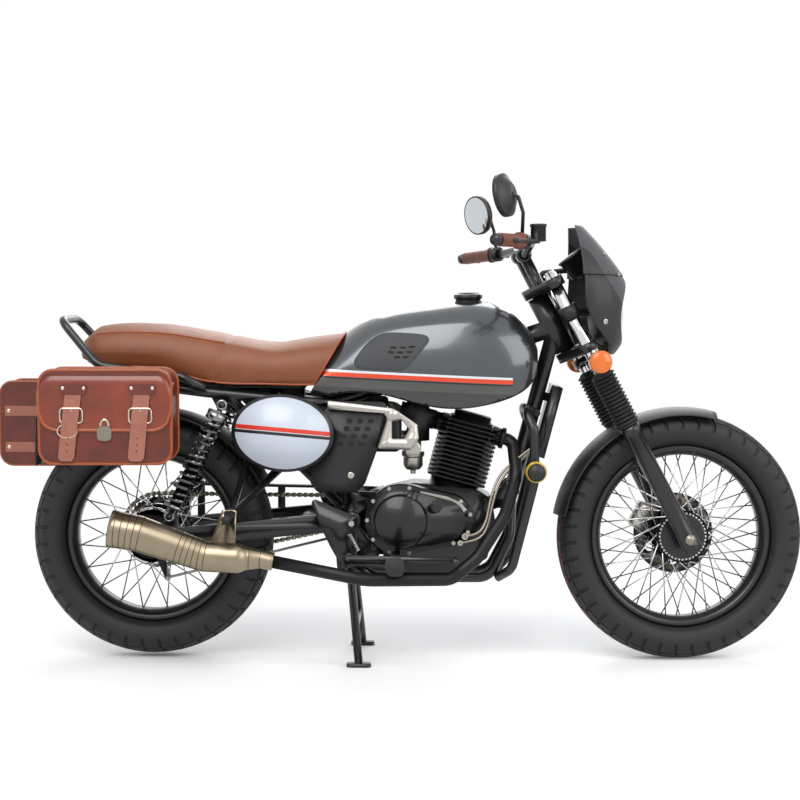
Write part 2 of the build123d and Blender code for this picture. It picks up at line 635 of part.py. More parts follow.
def rail(side, r):
    """Seat rail from the spine's rear end to the tail."""
    y = side * RAIL_Y
    points = [(-90, side * 8, spine_z(-90)), (-170, side * 98, 684), (-480, y, 714)]
    points.append((RAIL_END[0], y, RAIL_END[1]))
    return bent(points, [70, 300], r)


def post(side, r):
    return rod((-112, side * (PLATE_Y + 5), 420), (-158, side * 88, 684), r)


def strut(side, r):
    return rod((-130, side * (PLATE_Y + 5), 412), (-420, side * (RAIL_Y - 2), 706), r)


def cradle(side, r):
    y = side * CRADLE_Y
    points = [(-95, y, 252), (-40, y, CRADLE_Z), (262, y, CRADLE_Z), (316, side * 44, 330),
              (DOWNTUBE_END[0], side * 12, DOWNTUBE_END[1] - 8)]
    return bent(points, [40, 50, 60], r)


def on_downtube(share):
    """X and Z of the downtube's axis, as a share of the way down it."""
    head = stem_point(DOWNTUBE_UP)
    return (head[0] + share * (DOWNTUBE_END[0] - head[0]), head[2] + share * (DOWNTUBE_END[1] - head[2]))


def downtube(r):
    return rod(stem_point(DOWNTUBE_UP), (DOWNTUBE_END[0], 0, DOWNTUBE_END[1]), r)


def frame_side(side):
    """One side of the rear frame: rail, post, strut, pivot plate and shock bracket."""
    body = rail(side, RAIL_R)
    outline = [(-25, 448), (-25, 285), (-80, 236), (-140, 244), (-150, 400), (-118, 452)]
    inner, outer = side * PLATE_Y, side * (PLATE_Y + PLATE_T)
    body += slab(outline, inner, outer, 10)
    body += post(side, RAIL_R) + strut(side, STRUT_R) + cradle(side, RAIL_R)
    gusset = [(-470, 716), (-392, 710), (-412, 670), (-446, 670)]
    body += slab(gusset, side * (RAIL_Y - 6), side * (RAIL_Y + 4), 6)
    body += across(*SHOCK_TOP, side * RAIL_Y, side * (SHOCK_Y + 16), SHOCK_PIN_R)
    for x, z in ENGINE_BOLTS:
        body += across(x, z, side * (PLATE_Y + 4), side * (PLATE_Y + PLATE_T + 8), 10)
    for x, base, top in SEAT_RESTS:
        body += rod((x, side * 60, base), (x, side * 60, top - PAN_T - 2 * REST_GAP), 6)
    return body


def frame():
    body = rod(stem_point(CLAMP_LOW_UP + CLAMP_LOW_T + 3), stem_point(CLAMP_TOP_UP - 3), HEAD_R)
    head = stem_point(SPINE_UP)
    body += rod(head, (SPINE_REAR[0], 0, SPINE_REAR[1]), SPINE_R)
    body += downtube(DOWNTUBE_R)
    for side in (-1, 1):
        body += frame_side(side)
        plates = [(344, 474), (306, 478), (270, 430), (276, 402), (302, 402), (340, 440)]
        body += slab(plates, side * (LUG_HALF + FIT), side * (LUG_HALF + FIT + 6), 8)
    body += across(*DOWNTUBE_END, -LUG_HALF - 4, LUG_HALF + 4, 16)
    for x, radius in TANK_PADS:
        body += across(x, spine_z(x), FIT - TUNNEL_HALF, TUNNEL_HALF - FIT, radius)
    for x, z, top in SEAT_RESTS:
        body += across(x, z, -RAIL_Y, RAIL_Y, CROSS_R)
    body += across(*TAIL_BAR, -RAIL_Y, RAIL_Y, CROSS_R)
    body += across(*PIVOT, -HANGER_Y, HANGER_Y, PIVOT_PIN_R)
    body += across(*STAND_PIVOT, -STAND_OUT - 4, STAND_OUT + 4, STAND_PIN_R)
    body += rod((SIDE_STAND_PIVOT[0], CRADLE_Y, CRADLE_Z), SIDE_STAND_AT, 10)
    body += SIDE_PIN * Cylinder(SIDE_PIN_R, 18, align=BASE)
    body -= rod(stem_point(CLAMP_LOW_UP), stem_point(CLAMP_TOP_UP + 50), STEM_R + AXLE_CLEAR)
    keep("frame", body)


# Swingarm and rear suspension
ARM_IN = 100.0
ARM_OUT = 124.0
ARM_END = 24.0
REAR_AXLE = (REAR_AXLE_X, REAR_AXLE_Z)
SPRING_R = 26.0
DAMPER_R = 16.0


def swingarm():
    body = across(-222, 368, -ARM_IN - 4, ARM_IN + 4, 17)
    for side in (-1, 1):
        inner, outer = side * ARM_IN, side * ARM_OUT
        arm = link(PIVOT, REAR_AXLE, SWINGARM_H * 0.5, ARM_END, inner, outer)
        arm += link(SHOCK_LOW, (SHOCK_LOW[0] - 6, REAR_AXLE_Z + 10), 15, 24, inner, outer)
        arm += across(*SHOCK_LOW, side * (ARM_IN + 2), side * (SHOCK_Y + 16), SHOCK_PIN_R)
        body += arm
        body -= across(*PIVOT, inner - side * 2, outer + side * 2, PIVOT_PIN_R + FIT)
        body -= across(*REAR_AXLE, inner - side * 2, outer + side * 2, AXLE_R + FIT)
    keep("swingarm", body)


def rear_axle():
    axle = across(*REAR_AXLE, -ARM_OUT - 4, ARM_OUT + 4, AXLE_R)
    axle += across(*REAR_AXLE, SPROCKET_Y + SPROCKET_T, ARM_IN - FIT, AXLE_R + 7)
    axle += across(*REAR_AXLE, -BRAKE_PLATE_OUT - FIT, -ARM_IN + FIT, AXLE_R + 7)
    for side in (-1, 1):
        axle += across(*REAR_AXLE, side * (ARM_OUT + FIT), side * (ARM_OUT + 14), 15)
    keep("rear_axle", axle)


def shock(side):
    """Damper with two eyes and its spring, made as a ribbed sleeve."""
    top = Vector(SHOCK_TOP[0], side * SHOCK_Y, SHOCK_TOP[1])
    low = Vector(SHOCK_LOW[0], side * SHOCK_Y, SHOCK_LOW[1])
    line = (top - low).normalized()
    body = rod(tuple(low + line * 10), tuple(low + line * 150), DAMPER_R)
    body += rod(tuple(low + line * 140), tuple(top - line * 10), 7)
    body += rod(tuple(low + line * 26), tuple(low + line * 34), SPRING_R + 1)
    body += rod(tuple(top - line * 44), tuple(top - line * 22), SPRING_R + 1)
    for eye in (SHOCK_TOP, SHOCK_LOW):
        body += across(*eye, side * (SHOCK_Y - 14), side * (SHOCK_Y + 14), 14)
    for eye in (SHOCK_TOP, SHOCK_LOW):
        body -= across(*eye, side * (SHOCK_Y - 20), side * (SHOCK_Y + 20), SHOCK_PIN_R + FIT)
    start, stop = 34.0, (top - low).length - 44
    turns, inner = 9, SPRING_R - 8
    pitch = (stop - start) / turns
    points = [(inner, start + FIT)]
    for index in range(turns):
        base = start + index * pitch
        points += [(SPRING_R - 6, base + FIT), (SPRING_R, base + pitch * 0.3), (SPRING_R, base + pitch * 0.55)]
    points += [(SPRING_R - 6, stop - FIT), (inner, stop - FIT)]
    coil = revolve(Plane.XZ * make_face(Polyline(*points, close=True)), Axis.Z)
    return body, Plane(low, z_dir=line) * coil


def shocks():
    pairs = [shock(side) for side in (-1, 1)]
    keep("shocks", *[body for body, coil in pairs])
    keep("shock_springs", *[coil for body, coil in pairs])


BRAKE_PLATE_IN = REAR_FLANGE_Y + FLANGE_T * 0.5 + 3
BRAKE_PLATE_R = 60.0
BRAKE_PLATE_OUT = 66.0
BRAKE_LEVER = (-585.0, 224.0)


def brake_plate():
    """Drum back plate on the right with its cam lever and the rod to the pedal."""
    bore = AXLE_R + FIT
    inside, outside = -BRAKE_PLATE_IN, -BRAKE_PLATE_OUT
    plate = turned([(bore, inside), (BRAKE_PLATE_R, inside), (BRAKE_PLATE_R, inside - 8),
                    (BRAKE_PLATE_R - 14, outside), (bore, outside)], *REAR_AXLE)
    cam = (REAR_AXLE_X + 20, REAR_AXLE_Z - 32)
    plate += across(*cam, -BRAKE_PLATE_OUT + 6, -BRAKE_PLATE_OUT - 14, 9)
    plate += link(cam, BRAKE_LEVER, 12, 8, -BRAKE_PLATE_OUT - 4, -BRAKE_PLATE_OUT - 12)
    plate += across(*BRAKE_LEVER, -BRAKE_PLATE_OUT - 5, -BRAKE_PLATE_OUT - 26, 6)
    plate += rod((BRAKE_LEVER[0], -BRAKE_PLATE_OUT - 20, BRAKE_LEVER[1]), BRAKE_ROD_END, 3.5)
    keep("brake_plate", plate)


# Engine: side-view places as X, Z
CLUTCH = (29.0, 384.0)
CLUTCH_R = 92.0
CLUTCH_OUT = 150.0
GENERATOR = (140.0, 372.0)
GENERATOR_R = 76.0
DRIVE = (-2.0, 392.0)
DRIVE_R = 30.0
CYLINDER_FOOT = (169.0, 461.0)
CYLINDER_LEAN = 15.0
CYLINDER_TALL = 176.0
FIN_COUNT = 14
FIN_LONG = 156.0
FIN_WIDE = 150.0
FIN_T = 4.0
BARREL_R = 54.0
CYLINDER = Plane((CYLINDER_FOOT[0], 0, CYLINDER_FOOT[1]),
                 x_dir=(cos(radians(CYLINDER_LEAN)), 0, -sin(radians(CYLINDER_LEAN))),
                 z_dir=(sin(radians(CYLINDER_LEAN)), 0, cos(radians(CYLINDER_LEAN))))
FLOOR_PLANE_DEPTH = 14.0


def engine():
    case = slab([(-18, 262), (-18, 450), (60, 469), (215, 458), (268, 430), (278, 360), (255, 275), (190, 240),
                 (20, 240)], -ENGINE_HALF, ENGINE_HALF, 16)
    case += slab([(-66, 300), (-66, 440), (-10, 456), (-10, 275)], -PLATE_Y, PLATE_Y, 12)
    case += link(FRONT_LUG, (240, 410), 16, 24, -LUG_HALF, LUG_HALF)
    bed = Cylinder(BARREL_R + 12, FLOOR_PLANE_DEPTH + 12, align=BASE)
    bed = CYLINDER * Pos(0, 0, -FLOOR_PLANE_DEPTH) * bed
    case += bed
    keep("engine_crankcase", case)

    barrel = CYLINDER * Pos(0, 0, 12) * Cylinder(BARREL_R, CYLINDER_TALL - 40, align=BASE)
    pitch = (CYLINDER_TALL - 22) / (FIN_COUNT - 1)
    for index in range(FIN_COUNT):
        plate = fillet(Rectangle(FIN_LONG, FIN_WIDE).vertices(), 26)
        barrel += CYLINDER * Pos(0, 0, 18 + index * pitch) * extrude(plate, FIN_T)
    for inset_by, low, tall in [(44, 0, 46), (58, 45, 16)]:
        block = Box(FIN_LONG - inset_by, FIN_WIDE - inset_by, tall, align=BASE)
        block = fillet(block.edges().filter_by(Axis.Z), 22)
        barrel += CYLINDER * Pos(0, 0, CYLINDER_TALL - 40 + low) * block
    barrel += CYLINDER * Pos(60, -30, CYLINDER_TALL - 20) * Rot(0, 90, 0) * Cylinder(24, 24, align=BASE)
    barrel += CYLINDER * Pos(-60, 0, CYLINDER_TALL - 22) * Rot(0, -90, 0) * Cylinder(24, 34, align=BASE)
    keep("engine_cylinder", barrel)


def engine_covers():
    """Right clutch cover with its round boss, left generator cover, drive sprocket and its guard."""
    right = link(CLUTCH, (150, 384), CLUTCH_R, 66, -ENGINE_HALF, -CLUTCH_OUT + 16)
    right += link(CLUTCH, (142, 384), CLUTCH_R - 10, 54, -CLUTCH_OUT + 18, -CLUTCH_OUT)
    x, z = CLUTCH
    right += rod((x, -CLUTCH_OUT + 1, z), (x, -CLUTCH_OUT - 15, z), CLUTCH_R - 20, CLUTCH_R - 28)
    right += across(58, 448, -CLUTCH_OUT + 20, -CLUTCH_OUT - 8, 13)
    left = across(*GENERATOR, ENGINE_HALF, 128, GENERATOR_R)
    x, z = GENERATOR
    left += rod((x, 127, z), (x, 142, z), GENERATOR_R - 8, GENERATOR_R - 22)
    drive = across(*DRIVE, ENGINE_HALF, SPROCKET_Y + 6, DRIVE_R - 8)
    guard = link(DRIVE, (DRIVE[0] + 30, DRIVE[1] - 4), DRIVE_R + 20, 40, SPROCKET_Y + 14, SPROCKET_Y + 26)
    guard += across(DRIVE[0] + 52, DRIVE[1] - 4, ENGINE_HALF, SPROCKET_Y + 20, 8)
    keep("engine_covers", right, left, drive, guard)


def intake():
    """Carburettor with its float bowl between the head's inlet stub and the air box."""
    start = CYLINDER.from_local_coords(Vector(-94 - FIT, 0, CYLINDER_TALL - 22))
    line = Vector(-cos(radians(CYLINDER_LEAN)), 0, sin(radians(CYLINDER_LEAN)))
    body = rod(tuple(start), tuple(start + line * 96), 26)
    middle = start + line * 46
    body += rod((middle.X, 0, middle.Z + 60), (middle.X, 0, middle.Z - 66), 30)
    box_at = start + line * 94
    body += Pos(box_at.X - 60, 0, box_at.Z - 56) * fillet(Box(124, 150, 96).edges(), 16)
    keep("carburettor", body)


# Exhaust: pipe points X, Y, Z from the port to the muffler
EXHAUST_PORT = CYLINDER.from_local_coords(Vector(84 + FIT, -30, CYLINDER_TALL - 20))
PIPE_PATH = [tuple(EXHAUST_PORT), tuple(EXHAUST_PORT + CYLINDER.x_dir * 34), (330, -98, 496), (300, -112, 394),
             (228, -136, 286), (160, -162, 234), (-60, -198, 238), (-296, -198, 285)]
MUFFLER_JOINT_R = 23.0
# Muffler stations: X, Z, radius
MUFFLER_Y = PIPE_PATH[-1][1]
MUFFLER = [(PIPE_PATH[-1][0] - FIT, PIPE_PATH[-1][2], MUFFLER_JOINT_R), (-330, 291.8, 23.5), (-362, 293, 29),
           (-392, 294, 38.5), (-472, 299, 39.5), (-640, 357, 46), (-713, 370, 48)]
OUTLET_R = 34.0
OUTLET_DEPTH = 60.0


def exhaust():
    pipe = bent(PIPE_PATH, [28, 60, 80, 90, 60, 200], PIPE_R)
    pipe += Plane(EXHAUST_PORT, z_dir=CYLINDER.x_dir) * Cylinder(28, 10, align=BASE)
    keep("exhaust_header", pipe)
    points = [Vector(x, MUFFLER_Y, z) for x, z, radius in MUFFLER]
    radii = [radius for x, z, radius in MUFFLER]
    can = rod(tuple(points[0]), tuple(points[1]), radii[0], radii[1])
    for index in range(1, len(points) - 1):
        can += rod(tuple(points[index]), tuple(points[index + 1]), radii[index], radii[index + 1])
        can += Pos(points[index]) * Sphere(radii[index])
    inward = (points[-2] - points[-1]).normalized()
    can -= rod(tuple(points[-1] - inward), tuple(points[-1] + inward * OUTLET_DEPTH), OUTLET_R)
    can += HANGER
    keep("muffler", can)


# Tank sections: X, bottom Z, bottom half, widest Z, widest half, shoulder Z, shoulder half, top Z
TANK_SECTIONS = [
    (-215, 712, 98, 735, 104, 765, 86, 790),
    (-125, 711, 112, 762, 120, 822, 90, 858),
    (0, 704, 122, 772, 134, 872, 104, 924),
    (130, 674, 124, 776, TANK_HALF, 888, 110, 944),
    (255, 682, 118, 782, 134, 888, 104, 949),
    (340, 712, 98, 790, 112, 868, 82, 908),
    (386, 772, 58, 800, 66, 822, 54, 834),
]
# The slanted seam between tank and seat, as two X, Z points
SEAM = [(-196, 731), (-125, 851)]
SEAM_GAP = 1.0


def hoop(x, bottom, bottom_half, wide_z, wide, shoulder_z, shoulder, top):
    """Upright section: flat bottom, bulged sides and a crowned top."""
    right = ThreePointArc((bottom_half, bottom), (wide, wide_z), (shoulder, shoulder_z))
    crown = ThreePointArc((shoulder, shoulder_z), (0, top), (-shoulder, shoulder_z))
    left = ThreePointArc((-shoulder, shoulder_z), (-wide, wide_z), (-bottom_half, bottom))
    floor = Line((-bottom_half, bottom), (bottom_half, bottom))
    return Plane.YZ.offset(x) * make_face(right + crown + left + floor)


def inset(row, wall, shift):
    x, bottom, bottom_half, wide_z, wide, shoulder_z, shoulder, top = row
    return (x + shift, bottom + wall, bottom_half - wall, wide_z, wide - wall,
            shoulder_z - wall, shoulder - wall, top - wall)


def behind_seam(offset):
    """Block behind the tank and seat seam, moved back by the offset."""
    (x0, z0), (x1, z1) = SEAM
    slope = (x1 - x0) / (z1 - z0)
    low, high = 600, 1000
    return slab([(x0 + (low - z0) * slope - offset, low), (x0 + (high - z0) * slope - offset, high),
                 (-1000, high), (-1000, low)], -200, 200)


def tunnel(grow):
    """Slot under the tank that the spine runs through."""
    rise = SPINE_R + 8 + grow
    return slab([(-300, spine_z(-300) + rise), (480, spine_z(480) + rise), (480, 600), (-300, 600)],
                -TUNNEL_HALF - grow, TUNNEL_HALF + grow)


CAP_X = 205.0
CAP_R = 34.0


def tank():
    outer = loft([hoop(*row) for row in TANK_SECTIONS])
    last = len(TANK_SECTIONS) - 1
    ends = {0: TANK_WALL, last: -TANK_WALL}
    void = loft([hoop(*inset(row, TANK_WALL, ends.get(index, 0))) for index, row in enumerate(TANK_SECTIONS)])
    shell = outer - behind_seam(0) - tunnel(0)
    shell -= void - behind_seam(-TANK_WALL) - tunnel(TANK_WALL)
    top = TANK_SECTIONS[3][7]
    neck = rod((CAP_X, 0, top - 20), (CAP_X, 0, top + 12), CAP_R)
    keep("fuel_tank", shell + neck)
    cap = rod((CAP_X, 0, top + 12), (CAP_X, 0, top + 22), CAP_R + 4)
    cap += rod((CAP_X, 0, top + 22), (CAP_X, 0, top + 28), CAP_R, CAP_R - 8)
    keep("fuel_cap", cap)


# Seat sections: X, bottom Z, bottom half, widest Z, widest half, shoulder Z, shoulder half, top Z
SEAT_SECTIONS = [
    (-806, 800, 62, 820, 74, 838, 58, 850),
    (-762, 784, 96, 822, 108, 864, 84, 884),
    (-600, 775, 112, 822, 124, 868, 96, 889),
    (-464, 741, 116, 800, 126, 848, 98, 869),
    (-300, 735, 114, 785, 124, 822, 96, 842),
    (-190, 733, 110, 785, 120, 830, 92, 856),
    (-110, 733, 104, 785, 114, 836, 84, 866),
]


PAN_HALF = 80.0
PAN_FROM = -225.0
BOX_HALF = 58.0
BOX_LOW = 505.0
BAR_ROOM = 12.0        # half the slot in the box that straddles the frame's cross bar


def seat_pan(cushion):
    """Pan that the cushion lies on, seated on the frame's rests, with the battery box below it."""
    (near_x, bar_z, near_z), (far_x, _, far_z) = SEAT_RESTS
    low = near_z - REST_GAP - PAN_T
    far_low = far_z - REST_GAP - PAN_T
    outline = [(PAN_FROM, near_z), (PAN_FROM, low), (-464, low), (far_x, far_low), (far_x, far_z)]
    pan = slab(outline, -PAN_HALF, PAN_HALF)
    box = slab([(-230, low + 1), (-230, 696), (-185, 690), (-185, BOX_LOW), (-300, BOX_LOW), (-330, 560),
                (-345, 640), (-345, low + 1)], -BOX_HALF, BOX_HALF)
    ahead, behind, under = near_x + BAR_ROOM, near_x - BAR_ROOM, bar_z - BAR_ROOM
    slot = slab([(behind, under), (ahead, under), (ahead, low), (behind, low)], -BOX_HALF - 1, BOX_HALF + 1)
    body = pan + (box - slot)
    for x, base, top in SEAT_RESTS:
        for side in (-1, 1):
            body -= rod((x, side * 60, base), (x, side * 60, top - PAN_T - REST_GAP), 6 + REST_GAP)
    return body - Pos(0, 0, -REST_GAP) * cushion


def seat():
    cushion = loft([hoop(*row) for row in SEAT_SECTIONS]) & behind_seam(SEAM_GAP)
    keep("seat", cushion)
    body = seat_pan(cushion)
    keep("seat_pan", max(body.solids(), key=lambda solid: solid.volume))


# Luggage: right bag, and a left bag hung further back and lower; X and Z of the middle
BAG_LONG = 331.0
BAG_TALL = 234.0
BAG_IN = 200.0
BAG_RIGHT = (-700.0, 665.0)
BAG_LEFT = (-930.0, 607.0)


def bag(place, side):
    middle = side * (BAG_IN + BAG_DEPTH * 0.5)
    body = Box(BAG_LONG, BAG_DEPTH, BAG_TALL)
    body = fillet(body.edges().filter_by(Axis.Y), BAG_ROUND)
    return Pos(place[0], middle, place[1]) * body


def luggage():
    keep("saddlebag_right", bag(BAG_RIGHT, -1))
    keep("saddlebag_left", bag(BAG_LEFT, 1))


GRAB_Y = RAIL_Y + RAIL_R + GRAB_R + FIT


def grab_rail():
    """Hoop behind the seat whose side tubes run along the rails, with the bag carriers."""
    half = [(-475, GRAB_Y + 4, 726), (-540, GRAB_Y, 756), (-752, GRAB_Y, 784), (-852, 104, 900)]
    points = half + [(x, -y, z) for x, y, z in reversed(half)]
    body = bent(points, [40, 60, 40, 40, 60, 40], GRAB_R)
    for side in (-1, 1):
        for x, z in [(-600, 764), (-715, 779)]:
            foot = rod((x, side * GRAB_Y, z), (x, side * (RAIL_Y + 2), 740), 7)
            body += foot - rail(side, RAIL_R + FIT)
    carriers = [(-1, -640, 770, BAG_RIGHT[1] + 40), (1, -765, 797, BAG_LEFT[1] + 60)]
    for side, x, z, bag_z in carriers:
        knee, end = side * (GRAB_Y + 26), side * (BAG_IN - FIT)
        body += bent([(x, side * GRAB_Y, z), (x - 20, knee, bag_z), (x - 20, end, bag_z)], 14, 7)
    keep("grab_rail", body)


REAR_FENDER_ROOM = 22.0
REAR_FENDER_R = REAR_R + REAR_FENDER_ROOM
REAR_FENDER_HALF = 74.0
REAR_FENDER_FROM = 24.0
REAR_FENDER_TO = 140.0
TAIL_X = -852.0
TAIL_Z = 655.0


def rear_fender():
    """Crowned guard round the rear tyre, hung from the rails' cross bar."""
    edge, rise = REAR_FENDER_R - 18, REAR_FENDER_R
    half = REAR_FENDER_HALF
    path = ThreePointArc((-half, edge), (0, rise), (half, edge)) + Line((half, edge), (half - SHELL, edge - 1))
    path += ThreePointArc((half - SHELL, edge - 1), (0, rise - SHELL), (SHELL - half, edge - 1))
    path += Line((SHELL - half, edge - 1), (-half, edge))
    blade = revolve(Plane.YZ * make_face(path), Axis.Y, revolution_arc=REAR_FENDER_TO - REAR_FENDER_FROM)
    blade = Pos(*[REAR_AXLE_X, 0, REAR_AXLE_Z]) * Rot(0, 90 - REAR_FENDER_TO, 0) * blade
    bar_x, bar_z, top = SEAT_RESTS[1]
    for side in (-1, 1):
        blade += rod((bar_x, side * 36, REAR_AXLE_Z + 331), (bar_x, side * 36, bar_z - CROSS_R - FIT), 8)
    keep("rear_fender", blade)


PLATE_BOLT_HALF = 60.0
PLATE_BOLT_R = 3.3
PLATE_BOLT_Z = 590.0
PLATE_BACK = -930.0


def tail():
    """Tail lamp on its bracket with a plate holder below, and a pair of rear indicators."""
    lamp = Pos(TAIL_X - 30, 0, TAIL_Z) * fillet(Box(54, 96, 58).edges(), 12)
    holder = slab([(PLATE_BACK, 520), (PLATE_BACK + 4, 520), (PLATE_BACK + 4, 645), (PLATE_BACK, 645)], -84, 84)
    bar_x, bar_z = TAIL_BAR
    arm = bent([(bar_x - CROSS_R - FIT, 0, bar_z), (TAIL_X - 30, 0, bar_z), (TAIL_X - 30, 0, TAIL_Z)], 24, 12)
    body = lamp + arm + holder + rod((PLATE_BACK + 2, 0, 622), (TAIL_X - 30, 0, TAIL_Z - 10), 9)
    for side in (-1, 1):
        y = side * PLATE_BOLT_HALF
        body -= rod((PLATE_BACK - 5, y, PLATE_BOLT_Z), (PLATE_BACK + 9, y, PLATE_BOLT_Z), PLATE_BOLT_R)
    keep("tail_lamp", body)
    lamps = []
    for side in (-1, 1):
        lamp = across(TAIL_X - 30, TAIL_Z, side * (48 + FIT), side * 112, 6)
        lamp += rod((TAIL_X - 20, side * 128, TAIL_Z), (TAIL_X - 44, side * 128, TAIL_Z), 22)
        lamp += across(TAIL_X - 30, TAIL_Z, side * 100, side * 120, 8)
        lamps.append(lamp)
    keep("rear_indicators", *lamps)


# Side pieces: X, Z places on the right, repeated on the left
BOARD = (-275.0, 611.0)
BOARD_LONG = 132.0
BOARD_TALL = 100.0
BOARD_TILT = -5.0
BOARD_IN = 140.0
BOARD_T = 12.0
PANEL_IN = 118.0
PANEL_T = 10.0
TRIM_T = 6.0


def side_pieces():
    """Oval number board, vented side panel and bright trim for each side."""
    boards, panels, trims = [], [], []
    for side in (-1, 1):
        outline = Pos(*BOARD) * Rot(0, 0, BOARD_TILT) * Ellipse(BOARD_LONG, BOARD_TALL)
        y0 = side * BOARD_IN
        board = extrude(Plane.XZ.offset(-y0) * outline, amount=-side * BOARD_T)
        for x, z in [(-300, 592), (-232, 520)]:
            board += across(x, z, side * 84, side * (BOARD_IN + 1), 8) - strut(side, STRUT_R + FIT)
        boards.append(max(board.solids(), key=lambda solid: solid.volume))
        outline = [(-150, 692), (-6, 690), (-31, 568), (-63, 479), (-84, 456), (-188, 456), (-205, 480),
                   (-190, 640)]
        panel = slab(outline, side * PANEL_IN, side * (PANEL_IN + PANEL_T), 12)
        panel += across(-138, 600, side * 70, side * (PANEL_IN + 1), 8) - post(side, RAIL_R + FIT)
        panels.append(max(panel.solids(), key=lambda solid: solid.volume))
        inner, outer = side * (PANEL_IN + PANEL_T), side * (PANEL_IN + PANEL_T + TRIM_T)
        trim = slab([(-160, 694), (10, 674), (10, 660), (-160, 672)], inner, outer, 5)
        bracket = [(-15, 674), (14, 672), (72, 632), (76, 595), (55, 566), (-32, 570), (-6, 645)]
        trim += slab(bracket, inner, outer, 6)
        trim -= slab([(6, 640), (31, 645), (51, 620), (39, 595), (6, 595)], inner - side, outer + side, 4)
        trims.append(trim)
    keep("side_boards", *boards)
    keep("side_panels", *panels)
    keep("tank_trims", *trims)


COOLER_T = 26.0
COOLER_WIDE = 150.0
COOLER_TALL = 190.0
COOLER_AT = 0.54       # share of the way down the downtube
COOLER_GAP = 10.0
COOLER_FINS = 14


def oil_cooler():
    """Finned core ahead of the downtube on two lugs."""
    top, low = Vector(*stem_point(DOWNTUBE_UP)), Vector(DOWNTUBE_END[0], 0, DOWNTUBE_END[1])
    down = (low - top).normalized()
    ahead = Vector(-down.Z, 0, down.X)
    middle = top + (low - top) * COOLER_AT + ahead * (DOWNTUBE_R + COOLER_GAP + COOLER_T * 0.5)
    at = Plane(middle, x_dir=ahead, z_dir=down * -1)
    body = at * Box(COOLER_T, COOLER_WIDE, COOLER_TALL)
    pitch = (COOLER_TALL - 24) / COOLER_FINS
    for index in range(COOLER_FINS):
        z = 12 + (index + 0.5) * pitch - COOLER_TALL * 0.5
        body -= at * Pos(COOLER_T * 0.5, 0, z) * Box(12, COOLER_WIDE - 24, pitch * 0.5)
    for z in (-60, 60):
        lug = at * Pos(-COOLER_T * 0.5 - COOLER_GAP, 0, z) * Box(2 * COOLER_GAP + 4, 18, 22)
        body += lug - downtube(DOWNTUBE_R + FIT)
    keep("oil_cooler", max(body.solids(), key=lambda solid: solid.volume))


GUARD_Y = 122.0
GUARD_AT = 0.52        # share of the way down the downtube
SLIDER_AT = (376.0, 514.0)


def engine_guard():
    """Bent crash bar on each side from the downtube to the cradle, with a bobbin on it."""
    bars, bobbins = [], []
    for side in (-1, 1):
        y = side * GUARD_Y
        tube_x, tube_z = on_downtube(GUARD_AT)
        points = [(tube_x + 10, side * 8, tube_z), (tube_x - 24, side * 98, tube_z + 16),
                  (tube_x - 2, y, tube_z - 36), (SLIDER_AT[0], y, SLIDER_AT[1] - 26),
                  (318, side * 104, 252), (284, side * (CRADLE_Y + 4), CRADLE_Z + 2)]
        bar = bent(points, [40, 30, 120, 40], GUARD_R)
        bar -= downtube(DOWNTUBE_R + FIT)
        bar -= cradle(side, RAIL_R + FIT)
        bars.append(max(bar.solids(), key=lambda solid: solid.volume))
        start = side * (GUARD_Y + GUARD_R + FIT)
        bobbin = across(*SLIDER_AT, start, start + side * 40, 22)
        x, z = SLIDER_AT
        bobbin += rod((x, start + side * 40, z), (x, start + side * 66, z), 27, 21)
        bobbins.append(bobbin)
    keep("engine_guard", *bars)
    keep("guard_sliders", *bobbins)


# Foot pieces
HANGER_Y = 126.0
HANGER_T = 8.0
PEDAL_PIVOT = (-106.0, 290.0)
PEDAL_SHAFT_R = 7.0
PEDAL_Y = 190.0
PEDAL_TIP = (170.0, 288.0)
BRAKE_ARM_END = (-140.0, 332.0)
BRAKE_ROD_END = (BRAKE_ARM_END[0] - 9.0, -70.0, BRAKE_ARM_END[1] - 2.0)
REAR_PEG = (-410.0, 400.0)
REAR_PEG_R = 11.0
REAR_PEG_Y = 140.0
PEG_BASE = (16.0, 268.0)
PEG_R = 11.0
HANGER = slab([(-468, 308), (-398, 300), (-392, 414), (-430, 414)], -163, -170, 6)
HANGER -= across(*REAR_PEG, -150, -180, REAR_PEG_R + FIT)


